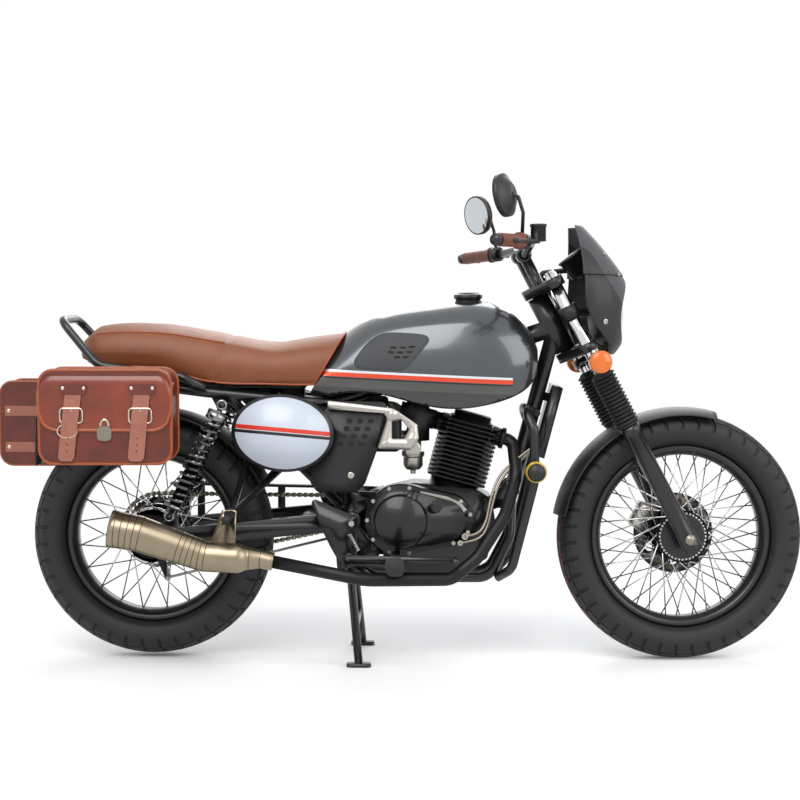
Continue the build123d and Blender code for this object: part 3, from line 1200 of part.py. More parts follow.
def foot_pieces():
    plates, pegs = [], []
    for side in (-1, 1):
        inner, outer = side * HANGER_Y, side * (HANGER_Y + HANGER_T)
        outline = [(-209, 444), (-84, 392), (-85, 263), (-131, 274), (-154, 315), (-174, 356)]
        plate = slab(outline, inner, outer, 9)
        plate += link((-98, 276), PEG_BASE, 13, 13, inner, outer)
        plate -= across(*PEDAL_PIVOT, inner - side, outer + side, PEDAL_SHAFT_R + FIT)
        plates.append(plate)
        y = side * REAR_PEG_Y
        vee = rod((-255, side * 80, 540), (REAR_PEG[0], y, REAR_PEG[1]), 9)
        vee += rod((-338, side * 92, 634), (REAR_PEG[0], y, REAR_PEG[1]), 9)
        vee += across(*REAR_PEG, y - side * 10, y + side * 10, REAR_PEG_R + 5)
        vee -= strut(side, STRUT_R + FIT)
        plates.append(max(vee.solids(), key=lambda solid: solid.volume))
        peg = across(*REAR_PEG, y + side * 10, side * 262, REAR_PEG_R)
        pegs.append(peg)
        x, z = PEG_BASE
        rest = across(x, z, outer, side * 204, PEG_R)
        rest += rod((x, side * 198, z), (x, side * 296, z + 24), 13)
        pegs.append(rest)
    keep("peg_hangers", *plates)
    keep("foot_pegs", *pegs)
    pedal = across(*PEDAL_PIVOT, -PLATE_Y - PLATE_T - 2, -PEDAL_Y - 6, PEDAL_SHAFT_R)
    pedal += link(PEDAL_PIVOT, BRAKE_ARM_END, 10, 8, -PLATE_Y - PLATE_T - 2, -PLATE_Y - PLATE_T - 8)
    pedal += link(PEDAL_PIVOT, PEDAL_TIP, 11, 7, -PEDAL_Y + 4, -PEDAL_Y - 4)
    pedal += across(*PEDAL_TIP, -PEDAL_Y + 4, -PEDAL_Y - 34, 9)
    shaft = (40, 285)
    toe = (166, 262)
    lever = across(*shaft, ENGINE_HALF, 122, 8) + link(shaft, toe, 11, 8, 112, 120) + across(*toe, 112, 152, 9)
    keep("foot_controls", pedal, lever)


CHAIN_IN = SPROCKET_Y - 6
CHAIN_OUT = SPROCKET_Y + 6
CHAIN_CLEAR = 1.0
CHAIN_TALL = 11.0
CHAIN_PITCH = 15.9
WAIST_R = 3.4          # hollow between two rollers, on both edges of the side plates


def chain():
    """Roller chain round both sprockets, its side plates waisted between the rollers."""
    inner = [(REAR_AXLE, SPROCKET_R + CHAIN_CLEAR), (DRIVE, DRIVE_R - 8 + CHAIN_CLEAR)]
    hulls = []
    for grow in (CHAIN_TALL, CHAIN_TALL * 0.5, 0):
        rings = Sketch() + [Pos(*centre) * Circle(radius + grow) for centre, radius in inner]
        hulls.append(make_hull(rings.edges()))
    band = hulls[0] - hulls[2]
    line = hulls[1].faces()[0].outer_wire()
    count = round(line.length / CHAIN_PITCH)
    waists = []
    for index in range(count):
        at, along = line @ (index / count), line % (index / count)
        for edge in (-1, 1):
            reach = edge * (CHAIN_TALL * 0.5 + 1)
            x, z = at.X - along.Y * reach, at.Y + along.X * reach
            waists.append(across(x, z, CHAIN_IN - 1, CHAIN_OUT + 1, WAIST_R))
    loop = extrude(Plane.XZ.offset(-CHAIN_IN) * band, amount=CHAIN_IN - CHAIN_OUT)
    keep("chain", loop.cut(*waists))
    guard = slab([(-200, 448), (-600, 456), (-600, 451), (-200, 443)], CHAIN_IN - 6, 106)
    for x in (-300, -520):
        share = (x - PIVOT[0]) / (REAR_AXLE_X - PIVOT[0])
        arm_top = PIVOT[1] + share * (REAR_AXLE_Z - PIVOT[1]) + SWINGARM_H * 0.5 + 1.5
        guard += slab([(x - 10, 450), (x + 10, 450), (x + 10, arm_top), (x - 10, arm_top)], ARM_IN, 106)
    keep("chain_guard", guard)


FOOT_X = -80.0
FOOT_Y = 135.0
FOOT_T = 9.0
SIDE_STAND_LONG = 245.0


def stands():
    legs = across(-88, 100, -120, 120, 8)
    for side in (-1, 1):
        middle = side * (STAND_IN + STAND_OUT) * 0.5
        legs += rod((STAND_PIVOT[0], middle, STAND_PIVOT[1]), (FOOT_X, side * FOOT_Y, FOOT_T - 2), 11)
        legs += across(*STAND_PIVOT, side * STAND_IN, side * STAND_OUT, STAND_PIN_R + 5)
        foot = fillet(Box(64, 30, FOOT_T, align=BASE).edges().filter_by(Axis.Z), 10)
        legs += Pos(FOOT_X, side * FOOT_Y, 0) * foot
        legs -= Pos(FOOT_X, side * FOOT_Y, -60) * Box(100, 60, 60, align=BASE)
    legs -= across(*STAND_PIVOT, -STAND_OUT - 5, STAND_OUT + 5, STAND_PIN_R + AXLE_CLEAR)
    keep("centre_stand", legs)
    bush = Pos(0, 0, 2) * Cylinder(SIDE_PIN_R + 7, 14, align=BASE)
    leg = Pos(-10, 0, 9) * Rot(0, -90, 0) * Cylinder(8, SIDE_STAND_LONG - 10, align=BASE)
    foot = Pos(-SIDE_STAND_LONG, 0, 12) * Box(8, 34, 24)
    prop = bush + leg + foot - Cylinder(SIDE_PIN_R + AXLE_CLEAR, 80)
    at = Plane(SIDE_STAND_AT, x_dir=(1, 0, 0), z_dir=SIDE_PIN.z_dir)
    keep("side_stand", at * prop)


def build():
    steps = [front_wheel, rear_wheel, fork, front_fender, front_caliper, handlebar, mirrors, headlamp,
             fairing, gauge_and_indicators, frame, swingarm, rear_axle, shocks, brake_plate, engine,
             engine_covers, intake, exhaust, tank, seat, luggage, grab_rail, rear_fender, tail, side_pieces,
             oil_cooler, engine_guard, foot_pieces, chain, stands]
    for step in steps:
        step()
    os.makedirs("parts", exist_ok=True)
    for name, solids in PIECES.items():
        export_step(solids[0] if len(solids) == 1 else Compound(solids), f"parts/{name}.step")


build()
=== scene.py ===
import json
from math import atan2, copysign, cos, exp, hypot, pi, radians, sin, sqrt

import bpy
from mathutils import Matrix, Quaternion, Vector
from mathutils.bvhtree import BVHTree


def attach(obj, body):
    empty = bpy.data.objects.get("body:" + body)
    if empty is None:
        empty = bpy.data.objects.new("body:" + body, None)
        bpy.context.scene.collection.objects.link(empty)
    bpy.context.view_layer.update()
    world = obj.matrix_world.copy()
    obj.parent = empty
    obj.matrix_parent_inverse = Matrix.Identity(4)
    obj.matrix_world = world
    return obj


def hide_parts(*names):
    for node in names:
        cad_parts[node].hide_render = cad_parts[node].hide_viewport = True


# Looks of the roadster motorcycle. Metres, +X forward, +Y to the rider's left, +Z up.

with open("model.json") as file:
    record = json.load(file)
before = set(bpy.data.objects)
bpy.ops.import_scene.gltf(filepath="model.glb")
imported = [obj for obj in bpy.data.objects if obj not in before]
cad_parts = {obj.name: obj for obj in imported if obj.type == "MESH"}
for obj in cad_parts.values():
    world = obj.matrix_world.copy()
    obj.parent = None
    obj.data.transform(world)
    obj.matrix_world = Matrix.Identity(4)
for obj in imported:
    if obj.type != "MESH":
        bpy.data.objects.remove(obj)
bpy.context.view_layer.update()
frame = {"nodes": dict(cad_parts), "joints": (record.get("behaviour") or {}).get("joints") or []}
NODES = frame["nodes"]
SCENE = bpy.context.scene
JOINTS = {joint["name"]: joint for joint in frame["joints"]}
STEER_FOOT = Vector(JOINTS["steering"]["pos_m"])
STEER_AXIS = Vector(JOINTS["steering"]["axis"])
FRONT_AXLE = Vector(JOINTS["front_wheel_spin"]["pos_m"])
FRONT_LINE = Vector(JOINTS["front_wheel_spin"]["axis"])
REAR_AXLE = Vector(JOINTS["rear_wheel_spin"]["pos_m"])
REST_STEER = radians(5.5)


def mirrored(point, side):
    """The point itself for 1, and for -1 the one across the middle plane."""
    return Vector((point[0], side * point[1], point[2]))


def placed(name, data):
    """A new object in the scene."""
    made = bpy.data.objects.new(name, data)
    SCENE.collection.objects.link(made)
    return made


def steered(point):
    """A straight-ahead point on the fork or bars, turned to where the steering rests."""
    turn = Quaternion(STEER_AXIS, REST_STEER)
    return turn @ (Vector(point) - STEER_FOOT) + STEER_FOOT


def fork_point(ahead, side, up):
    """Point beside the fork: ahead of the steering axis, to the left, and up it from the axle's height."""
    forward = Vector((0, 1, 0)).cross(STEER_AXIS)
    return steered(STEER_FOOT + forward * ahead + Vector((0, side, 0)) + STEER_AXIS * up)


FORK_AHEAD = 0.04  # of the legs' line before the steering axis
FORK_HALF = 0.098  # of the distance between the legs
INDICATORS = [fork_point(FORK_AHEAD, side * 0.165, 0.521) for side in (-1, 1)]
TAIL_LAMPS = [(-0.882, side * 0.128, 0.655) for side in (-1, 1)]


# Materials

def add(tree, kind, source=None):
    """A new shader node, fed from a socket where one is given."""
    node = tree.nodes.new("ShaderNode" + kind)
    if source:
        tree.links.new(source, node.inputs[0])
    return node


class Value:
    """A number in a shader tree that plain arithmetic can be done with."""

    def __init__(self, tree, socket):
        self.tree = tree
        self.socket = socket

    def done(self, kind, other=None):
        node = add(self.tree, "Math", self.socket)
        node.operation = kind
        if isinstance(other, Value):
            self.tree.links.new(other.socket, node.inputs[1])
        elif other is not None:
            node.inputs[1].default_value = other
        return Value(self.tree, node.outputs[0])

    def __add__(self, other):
        return self.done("ADD", other)

    def __sub__(self, other):
        return self.done("SUBTRACT", other)

    def __mul__(self, other):
        return self.done("MULTIPLY", other)

    def above(self, edge):
        return self.done("GREATER_THAN", edge)

    def below(self, edge):
        return self.done("LESS_THAN", edge)

    def size(self):
        return self.done("ABSOLUTE")


def fill(node, **values):
    """Sets inputs by name, where an underscore stands for a space."""
    for name, value in values.items():
        node.inputs[name.replace("_", " ")].default_value = value


def linear(hex_colour):
    """The colour as the renderer counts it, in proportion to the light."""
    values = [int(hex_colour[i:i + 2], 16) / 255 for i in (1, 3, 5)]
    return tuple(v / 12.92 if v <= 0.04045 else ((v + 0.055) / 1.055) ** 2.4 for v in values) + (1.0,)


def noise(tree, place, scale):
    node = add(tree, "TexNoise", place)
    fill(node, Scale=scale, Detail=4.0)
    return node.outputs[0]


COAT_ROUGH = 0.08
BUMP_STRENGTH = 0.6


def material(name, colour, rough, metal=0.0, coat=0.0, grain=(60, 0.12), bump=None, layers=None, glow=0.0,
             worn_by=""):
    """Paint with mottled colour, and a bumpy grain and masked layers where asked, put on the named nodes."""
    made = bpy.data.materials.new(name)
    made.use_nodes = True
    tree = made.node_tree
    shader = tree.nodes["Principled BSDF"]
    place = add(tree, "TexCoord").outputs["Object"]
    mix = add(tree, "Mix")
    mix.data_type = "RGBA"
    scale, amount = grain
    base = linear(colour)
    mix.inputs["A"].default_value = tuple(c * (1 - amount) for c in base[:3]) + (1.0,)
    mix.inputs["B"].default_value = tuple(min(1, c * (1 + amount)) for c in base[:3]) + (1.0,)
    tree.links.new(noise(tree, place, scale), mix.inputs["Factor"])
    shown = mix.outputs["Result"]
    fill(shader, Roughness=rough, Metallic=metal, Coat_Weight=coat, Coat_Roughness=COAT_ROUGH)
    if layers:
        parts = add(tree, "SeparateXYZ", place)
        x, y, z = (Value(tree, parts.outputs[i]) for i in range(3))
        for mask, layer_colour in layers(x, y, z):
            over = add(tree, "Mix")
            over.data_type = "RGBA"
            tree.links.new(mask.socket, over.inputs["Factor"])
            tree.links.new(shown, over.inputs["A"])
            over.inputs["B"].default_value = linear(layer_colour)
            shown = over.outputs["Result"]
    tree.links.new(shown, shader.inputs["Base Color"])
    if glow:
        tree.links.new(shown, shader.inputs["Emission Color"])
        fill(shader, Emission_Strength=glow)
    if bump:
        bump_scale, depth = bump
        rise = add(tree, "Bump")
        fill(rise, Distance=depth, Strength=BUMP_STRENGTH)
        tree.links.new(noise(tree, place, bump_scale), rise.inputs["Height"])
        tree.links.new(rise.outputs["Normal"], shader.inputs["Normal"])
    for node in worn_by.split():
        NODES[node].data.materials.clear()
        NODES[node].data.materials.append(made)
    return made


LINE_SLOPE = 0.0464
LINE_END = 0.318  # X where the tank's lines stop
# Top, height and colour
TANK_LINES = [(0.7669, 0.0062, "#dfe6ea"), (0.761, 0.0112, "#e0431c"), (0.7485, 0.004, "#101011")]
TANK_DARK = [(0.7445, "#4b4b48"), (0.722, "#343432")]  # the paint below each height


def tank_bands(x, y, z):
    """White, red and black lines that fall a little to the tank's front, and darker paint below."""
    line = z + x * LINE_SLOPE
    bands = [(line.below(top), colour) for top, colour in TANK_DARK]
    for top, tall, colour in TANK_LINES:
        bands.append((line.below(top) * line.above(top - tall) * x.below(LINE_END), colour))
    return bands


BOARD = (-0.275, 0.611)  # X and Z of the middle
BOARD_TILT = radians(-5)
BOARD_HALF = (0.132, 0.1)
BOARD_RIM = 0.86  # squared share of the way to the edge where the rim begins
BOARD_FACE = 0.14  # Y beyond which the board is pale
BOARD_LINES = [(0.014, 0.003, "#c8321d"), (0.001, -0.007, "#1b1b1e")]  # top, bottom
BOARD_BLACK = "#151517"


def board_bands(x, y, z):
    """Blank oval with a dark rim and two slanted bands."""
    dx, dz = x - BOARD[0], z - BOARD[1]
    along = dx * cos(BOARD_TILT) + dz * sin(BOARD_TILT)
    up = dz * cos(BOARD_TILT) - dx * sin(BOARD_TILT)
    reach = (along * (1 / BOARD_HALF[0])).done("POWER", 2.0) + (up * (1 / BOARD_HALF[1])).done("POWER", 2.0)
    behind = y.size().above(BOARD_FACE).done("SUBTRACT", 1.0).size()
    bands = [(up.below(top) * up.above(bottom), colour) for top, bottom, colour in BOARD_LINES]
    return bands + [(reach.above(BOARD_RIM), BOARD_BLACK), (behind, BOARD_BLACK)]


def squared(x, y, z, centre):
    """The squared distance from a centre."""
    dx, dy, dz = x - centre[0], y - centre[1], z - centre[2]
    return dx * dx + dy * dy + dz * dz


def balls(centres, radius, colour):
    """A colour within a distance of any of the centres."""
    def bands(x, y, z):
        return [(squared(x, y, z, centre).below(radius ** 2), colour) for centre in centres]
    return bands


VISOR_GREY = "#3d3b40"
VISOR_LINES = [(0.4595, 1.116, -1.515), (0.5186, 1.077, -0.646)]  # X, Z and slope of the visor's lower edge


def visor_band(x, y, z):
    """The grey visor is what lies ahead of either line."""
    return [((x - (z - at_z) * slope).above(at_x), VISOR_GREY) for at_x, at_z, slope in VISOR_LINES]


ROD_FROM = -0.588  # X where the brake rod leaves its lever
ROD_SIDE = -0.0665  # Y of the rod's inner edge


def rod_band(x, y, z):
    """The brake rod is bright where it leaves the lever."""
    return [((x.above(ROD_FROM) * y.below(ROD_SIDE)), "#a9a59c")]


TYRE_LINES = [(0.018, "#8c1f1a"), (-0.018, "#8c1f1a"), (-0.006, "#2c5a34")]  # distance from the middle plane
TYRE_LINE_HALF = 0.0012
TYRE_LINE_R = 0.305  # the lines show outside this radius


def tyre_bands(x, y, z):
    """Thin coloured rings on the front tread at set distances from the wheel's middle plane."""
    at, line = FRONT_AXLE, FRONT_LINE
    side = (x - at.x) * line.x + (y - at.y) * line.y + (z - at.z) * line.z
    outer = squared(x, y, z, at).above(TYRE_LINE_R ** 2)
    return [((side - out).size().below(TYRE_LINE_HALF) * outer, colour) for out, colour in TYRE_LINES]


AMBER = "#d06502"
HUB_BLACK = "#1a1a1c"
HUB_R = 0.083  # hubs are black within it, spokes bright outside
# Name, indicators, radius of their orange part, axle
ENDS = [("front", INDICATORS, 0.034, FRONT_AXLE), ("rear", TAIL_LAMPS, 0.027, REAR_AXLE)]

BLACK = material("black_metal", "#121214", 0.36, 0.2, coat=0.3,
                 worn_by="triple_clamps fork_lowers handlebar frame swingarm fuel_cap grab_rail "
                         "engine_guard foot_controls centre_stand side_stand oil_cooler front_rim "
                         "rear_rim peg_hangers")
material("engine_black", "#131315", 0.32, 0.4, coat=0.35, grain=(240, 0.25), bump=(900, 0.0003),
         worn_by="engine_crankcase engine_covers")
material("brake_black", "#1c1c1e", 0.4, 0.6, layers=rod_band, worn_by="brake_plate")
material("fin_black", "#111113", 0.46, 0.4, grain=(240, 0.2), worn_by="engine_cylinder")
ALLOY = material("bright_alloy", "#b4b0a8", 0.32, 0.9, grain=(120, 0.08),
                 worn_by="front_caliper tank_trims")
CHROME = material("chrome", "#d8d8da", 0.1, 1.0, grain=(40, 0.02), worn_by="fork_stanchions")
material("tank_grey", "#4a4d50", 0.27, 0.75, coat=1.0, grain=(2400, 0.22), layers=tank_bands,
         worn_by="fuel_tank")
SEAT = material("seat_leather", "#78401f", 0.46, grain=(26, 0.16), bump=(520, 0.0012), worn_by="seat")
BAG = material("bag_leather", "#5c1c09", 0.36, grain=(16, 0.75), bump=(300, 0.001), coat=0.2,
               worn_by="saddlebag_right saddlebag_left")
# The flap is the bag's leather painted lighter: painted light on the upper part of the bag, with the body
# below left darker; its glossier coat is the leather's own
LIT_FLAP = material("flap_leather_painted_light", "#742a10", 0.32, grain=(14, 0.6), bump=(300, 0.001), coat=0.3)
PIPING = material("bag_piping", "#93441a", 0.45, grain=(40, 0.15))
STRAP = material("bag_strap", "#935a4a", 0.5, grain=(50, 0.2), bump=(400, 0.0008))
STRAP_DARK = material("strap_plate", "#5c2618", 0.42, grain=(50, 0.25), bump=(400, 0.0008))
BRASS = material("buckle_metal", "#cfc2ae", 0.25, 0.9)
material("grip_rubber", "#6d3d2c", 0.6, grain=(60, 0.15), bump=(700, 0.001), worn_by="grips")
PLASTIC = material("black_plastic", "#121213", 0.45, grain=(300, 0.15), bump=(1400, 0.0003),
                   worn_by="front_fender bar_controls mirrors instrument carburettor rear_fender "
                           "side_panels guard_sliders chain_guard headlamp tail_lamp seat_pan")
material("cowl_black", "#0f0f11", 0.5, coat=0.1, grain=(20, 0.08), layers=visor_band, worn_by="cowl screen")
RUBBER = material("rubber", "#0f0f0f", 0.62, grain=(90, 0.2), worn_by="fork_bellows foot_pegs")
LENS = material("lamp_glass", "#dfe3e6", 0.06, coat=1.0, grain=(70, 0.12))
RED = material("red_lens", "#a80d0c", 0.15, coat=0.8, grain=(160, 0.12), glow=0.1)
material("board_white", "#bac2cd", 0.3, coat=0.2, grain=(12, 0.03), layers=board_bands,
         worn_by="side_boards")
material("bronze_steel", "#998c77", 0.32, 0.95, grain=(34, 0.12), worn_by="muffler")
WELD = material("weld_ring", "#584a3a", 0.5, 0.8, grain=(300, 0.2))
YELLOW = material("yellow_ring", "#c9a32a", 0.4, grain=(40, 0.1))
material("dark_pipe", "#1b191b", 0.42, 0.5, grain=(30, 0.25), worn_by="exhaust_header")
STEEL = material("chain_steel", "#8d8678", 0.35, 0.9, grain=(200, 0.12),
                 worn_by="front_axle rear_axle chain")
TYRE_FRONT = material("tyre_front", "#0e0e0f", 0.6, grain=(120, 0.18), bump=(800, 0.0006),
                      layers=tyre_bands, worn_by="front_tyre")
TYRE_REAR = material("tyre_rear", "#0e0e0f", 0.6, grain=(120, 0.18), bump=(800, 0.0006),
                     worn_by="rear_tyre")
SPRING = material("spring_metal", "#626265", 0.18, 1.0, grain=(60, 0.08))
material("shock_metal", "#8a8a8c", 0.2, 1.0, grain=(60, 0.06), worn_by="shocks")
material("disc_steel", "#5a564f", 0.38, 0.9, grain=(300, 0.15), worn_by="front_disc rear_sprocket")
PAD = material("knee_pad", "#333436", 0.62, grain=(200, 0.1), bump=(1500, 0.0003))
GLASS = material("mirror_glass", "#c9ced2", 0.03, 1.0, grain=(5, 0.02))
# Near-black painted shade, laid on the strap holes, the panel dimples and the knee pads' vents where their
# hollows would be in shade
HOLE_SHADE = material("painted_hole_shade", "#050505", 0.8)
for end, lamps, lamp_r, axle in ENDS:
    material(end + "_blinker", "#19191a", 0.2, coat=0.6, layers=balls(lamps, lamp_r, AMBER),
             worn_by=end + "_indicators")
    material(end + "_hub_metal", "#c9c9cb", 0.22, 1.0, layers=balls([axle], HUB_R, HUB_BLACK),
             worn_by=end + "_hub")

WELD_GAP = 0.00002
CREASE = radians(30)
COWL_CREASE = radians(65)
PIECE_CREASE = radians(40)

for node in NODES.values():
    weld = node.modifiers.new("weld", "WELD")
    weld.merge_threshold = WELD_GAP
    node.data.shade_smooth()
    node.data.set_sharp_from_angle(angle=CREASE)
for name in ("cowl", "screen"):
    NODES[name].data.set_sharp_from_angle(angle=COWL_CREASE)


# Mesh helpers

class Heap:
    """Points and faces of many small shapes that make one piece."""

    def __init__(self):
        self.points = []
        self.faces = []

    def grid(self, rows, close_rows=False, close_columns=False, caps=False):
        """Quads between rows of points that are all as long as each other."""
        first, count, wide = len(self.points), len(rows), len(rows[0])
        for row in rows:
            self.points += [Vector(p) for p in row]
        for i in range(count if close_rows else count - 1):
            for j in range(wide if close_columns else wide - 1):
                a = first + i * wide
                b = first + (i + 1) % count * wide
                k = (j + 1) % wide
                self.faces.append((a + j, a + k, b + k, b + j))
        if caps:
            self.faces.append(tuple(first + j for j in reversed(range(wide))))
            self.faces.append(tuple(first + (count - 1) * wide + j for j in range(wide)))
        return self

    def ring(self, centre, axis, profile, steps, hollow=False):
        """Turned shape from radii and distances along the axis, closed on itself where it is hollow."""
        rays = spokes(axis, steps)
        rows = []
        for r, along in profile:
            middle = Vector(centre) + Vector(axis).normalized() * along
            rows.append([middle + ray * r for ray in rays])
        return self.grid(rows, close_rows=hollow, close_columns=True, caps=not hollow)

    def tube(self, path, r, steps=10, closed=False):
        """Round tube along points, kept from twisting."""
        points = [Vector(p) for p in path]
        count, rows, side = len(points), [], None
        for i, p in enumerate(points):
            after = points[(i + 1) % count] if closed or i < count - 1 else p
            before = points[i - 1] if closed or i else p
            along = (after - before).normalized()
            side = around(along)[0] if side is None else (side - along * side.dot(along)).normalized()
            up = along.cross(side)
            rows.append([p + (side * cos(t) + up * sin(t)) * r for t in round_steps(steps)])
        return self.grid(rows, close_rows=closed, close_columns=True, caps=not closed)

    def prism(self, outline, shift):
        """Flat outline of points, moved by shift to make a slab."""
        low = [Vector(p) for p in outline]
        return self.grid([low, [p + Vector(shift) for p in low]], close_columns=True, caps=True)

    def bolt(self, place, axis, r, tall, sides=12):
        """Bolt head with a chamfer and a socket."""
        profile = [(r, 0), (r, tall * 0.8), (r * 0.85, tall), (r * 0.5, tall), (r * 0.45, tall * 0.5)]
        self.ring(place, axis, profile, sides)

    def made(self, name, look, slot, body="frame", smooth=True):
        """One mesh object in the row frame that moves with the body."""
        mesh = bpy.data.meshes.new(name)
        mesh.from_pydata([tuple(p) for p in self.points], [], self.faces)
        mesh.validate()
        mesh.materials.append(look)
        if smooth:
            mesh.shade_smooth()
            mesh.set_sharp_from_angle(angle=PIECE_CREASE)
        made = placed(name, mesh)
        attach(made, body)
        return made


def round_steps(steps):
    """Angles evenly round a circle."""
    return [2 * pi * k / steps for k in range(steps)]


def around(axis):
    """Two directions square to the axis and to each other."""
    along = Vector(axis).normalized()
    side = along.orthogonal().normalized()
    return side, along.cross(side)


def spokes(axis, steps):
    """Directions square to the axis, evenly round it."""
    side, up = around(axis)
    return [side * cos(t) + up * sin(t) for t in round_steps(steps)]


def helix(start, stop, r, turns, steps):
    """Points that wind about the line from start to stop."""
    side, up = around(stop - start)
    count, path = turns * steps, []
    for k in range(count + 1):
        t = 2 * pi * k / steps
        path.append(start.lerp(stop, k / count) + (side * cos(t) + up * sin(t)) * r)
    return path


def cut_corners(points, closed=False):
    """The path with its corners cut off three times; an open one keeps its ends."""
    path = [Vector(p) for p in points]
    for _ in range(3):
        found = []
        for a, b in zip(path, path[1:] + path[:1] if closed else path[1:]):
            found += [a.lerp(b, 0.25), a.lerp(b, 0.75)]
        path = found if closed else [path[0]] + found + [path[-1]]
    return path


def skin_of(name):
    """A node's mesh, ready for casting rays at."""
    mesh = NODES[name].data
    return BVHTree.FromPolygons([v.co for v in mesh.vertices], [p.vertices for p in mesh.polygons])


# Tyres with tread

def arc(start, middle, end, count):
    """Points on the circle through three flat points."""
    a, b, c = (Vector((*p, 0)) for p in (start, middle, end))
    d = 2 * (a.x * (b.y - c.y) + b.x * (c.y - a.y) + c.x * (a.y - b.y))
    a2, b2, c2 = a.length_squared, b.length_squared, c.length_squared
    ux = (a2 * (b.y - c.y) + b2 * (c.y - a.y) + c2 * (a.y - b.y)) / d
    uy = (a2 * (c.x - b.x) + b2 * (a.x - c.x) + c2 * (b.x - a.x)) / d
    r = hypot(a.x - ux, a.y - uy)
    t0, t1, t2 = (atan2(p.y - uy, p.x - ux) for p in (a, b, c))
    turn = (t1 - t0 + pi) % (2 * pi) - pi
    sweep = (t2 - t0) % (2 * pi) if turn > 0 else -((t0 - t2) % (2 * pi))
    return [(ux + r * cos(t0 + sweep * i / count), uy + r * sin(t0 + sweep * i / count))
            for i in range(count + 1)]


TREAD_DEEP = 0.0045
TREAD_LOW = 0.012  # how far the cuts run down the wall below the shoulder
TREAD_EDGE = 0.96  # share of the half width that stands for everything further out
TREAD_RINGS = [(0.09, 0.14), (0.47, 0.52), (0.78, 0.82)]  # from and to, as shares of the half width
TREAD_CUTS = [(0.14, 0.5, 1.2, 0.11), (0.5, 0.97, -0.5, 0.14)]  # from, to, slant, share cut away
BLOCK_STEPS = 18
BEAD_IN = 0.0043  # of the bead inside the rim's edge
BEAD_UP = 0.0046  # above the rim's radius
LIP_UP = 0.013
WALL_FOOT = (0.01, 0.009)  # inward from the widest place, up from the lip
WALL_UP = 0.006  # of the widest place above the middle of the wall
WALL_STEPS = 9
SHOULDER_IN = 0.005
SHOULDER_DROP = 0.24  # of the width, down from the crown
CROWN_STEPS = 60
# Radius, width, radius and width of the rim, blocks round the tread
FRONT_TYRE = (0.3276, 0.11, 0.2286, 0.062, 43)
REAR_TYRE = (0.32, 0.13, 0.2159, 0.078, 40)


def groove(across, turn, blocks):
    """1 in a groove of the tread: a ring round it, or a cut that slants less at the shoulder."""
    reach = abs(across)
    if any(start < reach < stop for start, stop in TREAD_RINGS):
        return 1.0
    half_step = 0.5 if across > 0 else 0.0
    for start, stop, slant, cut in TREAD_CUTS:
        if start < reach < stop:
            return 1.0 if (turn * blocks + reach * slant + half_step) % 1.0 < cut else 0.0
    return 0.0


def tyre(name, node, body, axle, axis, sizes, look):
    """Tyre turned about its axle, with the tread sunk into the skin along the skin's own normals."""
    radius, width, rim_r, rim_w, blocks = sizes
    half, bead_half = width / 2, rim_w / 2 - BEAD_IN
    bead, lip = rim_r + BEAD_UP, rim_r + LIP_UP
    wall_r = (radius + bead) / 2 + WALL_UP
    shoulder, crown_half = radius - width * SHOULDER_DROP, half - SHOULDER_IN
    foot = (half - WALL_FOOT[0], lip + WALL_FOOT[1])
    wall = arc(foot, (half, wall_r), (crown_half, shoulder), WALL_STEPS)
    crown = arc((crown_half, shoulder), (0, radius), (-crown_half, shoulder), CROWN_STEPS)
    right = [(bead_half, bead), (bead_half, lip)] + wall
    outline = right + crown[1:-1] + [(-y, r) for y, r in reversed(right)]
    skins = []
    for (y0, r0), (y1, r1) in zip(outline[-1:] + outline[:-1], outline[1:] + outline[:1]):
        length = hypot(y1 - y0, r1 - r0)
        skins.append(((r1 - r0) / length, (y0 - y1) / length))
    steps, rows = blocks * BLOCK_STEPS, []
    for s, ray in enumerate(spokes(axis, steps)):
        row = []
        for (y, r), lean in zip(outline, skins):
            depth = 0.0
            if r > shoulder - TREAD_LOW:
                across = max(-TREAD_EDGE, min(TREAD_EDGE, y / crown_half))
                depth = TREAD_DEEP * groove(across, s / steps, blocks)
            row.append(Vector(axle) + Vector(axis) * (y - lean[0] * depth) + ray * (r - lean[1] * depth))
        rows.append(row)
    made = Heap().grid(rows, close_rows=True, close_columns=True).made(name, look, "tyre", body)
    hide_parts(node)


tyre("front_tyre_tread", "front_tyre", "front_wheel", FRONT_AXLE, FRONT_LINE, FRONT_TYRE, TYRE_FRONT)
tyre("rear_tyre_tread", "rear_tyre", "rear_wheel", REAR_AXLE, (0, 1, 0), REAR_TYRE, TYRE_REAR)


# Coil springs in place of the ribbed sleeves

SHOCK_TOP = (-0.43, 0.15, 0.684)  # the eyes
SHOCK_LOW = (-0.568, 0.15, 0.395)
COIL_FROM = 0.037  # from the lower eye
COIL_TO = 0.048  # from the upper eye
COIL = (0.0218, 13, 24)  # radius, turns, steps in a turn
COIL_WIRE = 0.0045


def springs():
    heap = Heap()
    for side in (-1, 1):
        low, top = mirrored(SHOCK_LOW, side), mirrored(SHOCK_TOP, side)
        along = (top - low).normalized()
        heap.tube(helix(low + along * COIL_FROM, top - along * COIL_TO, *COIL), COIL_WIRE, 8)
    made = heap.made("shock_coils", SPRING, "black_metal")
    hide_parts("shock_springs")


springs()


# Seat

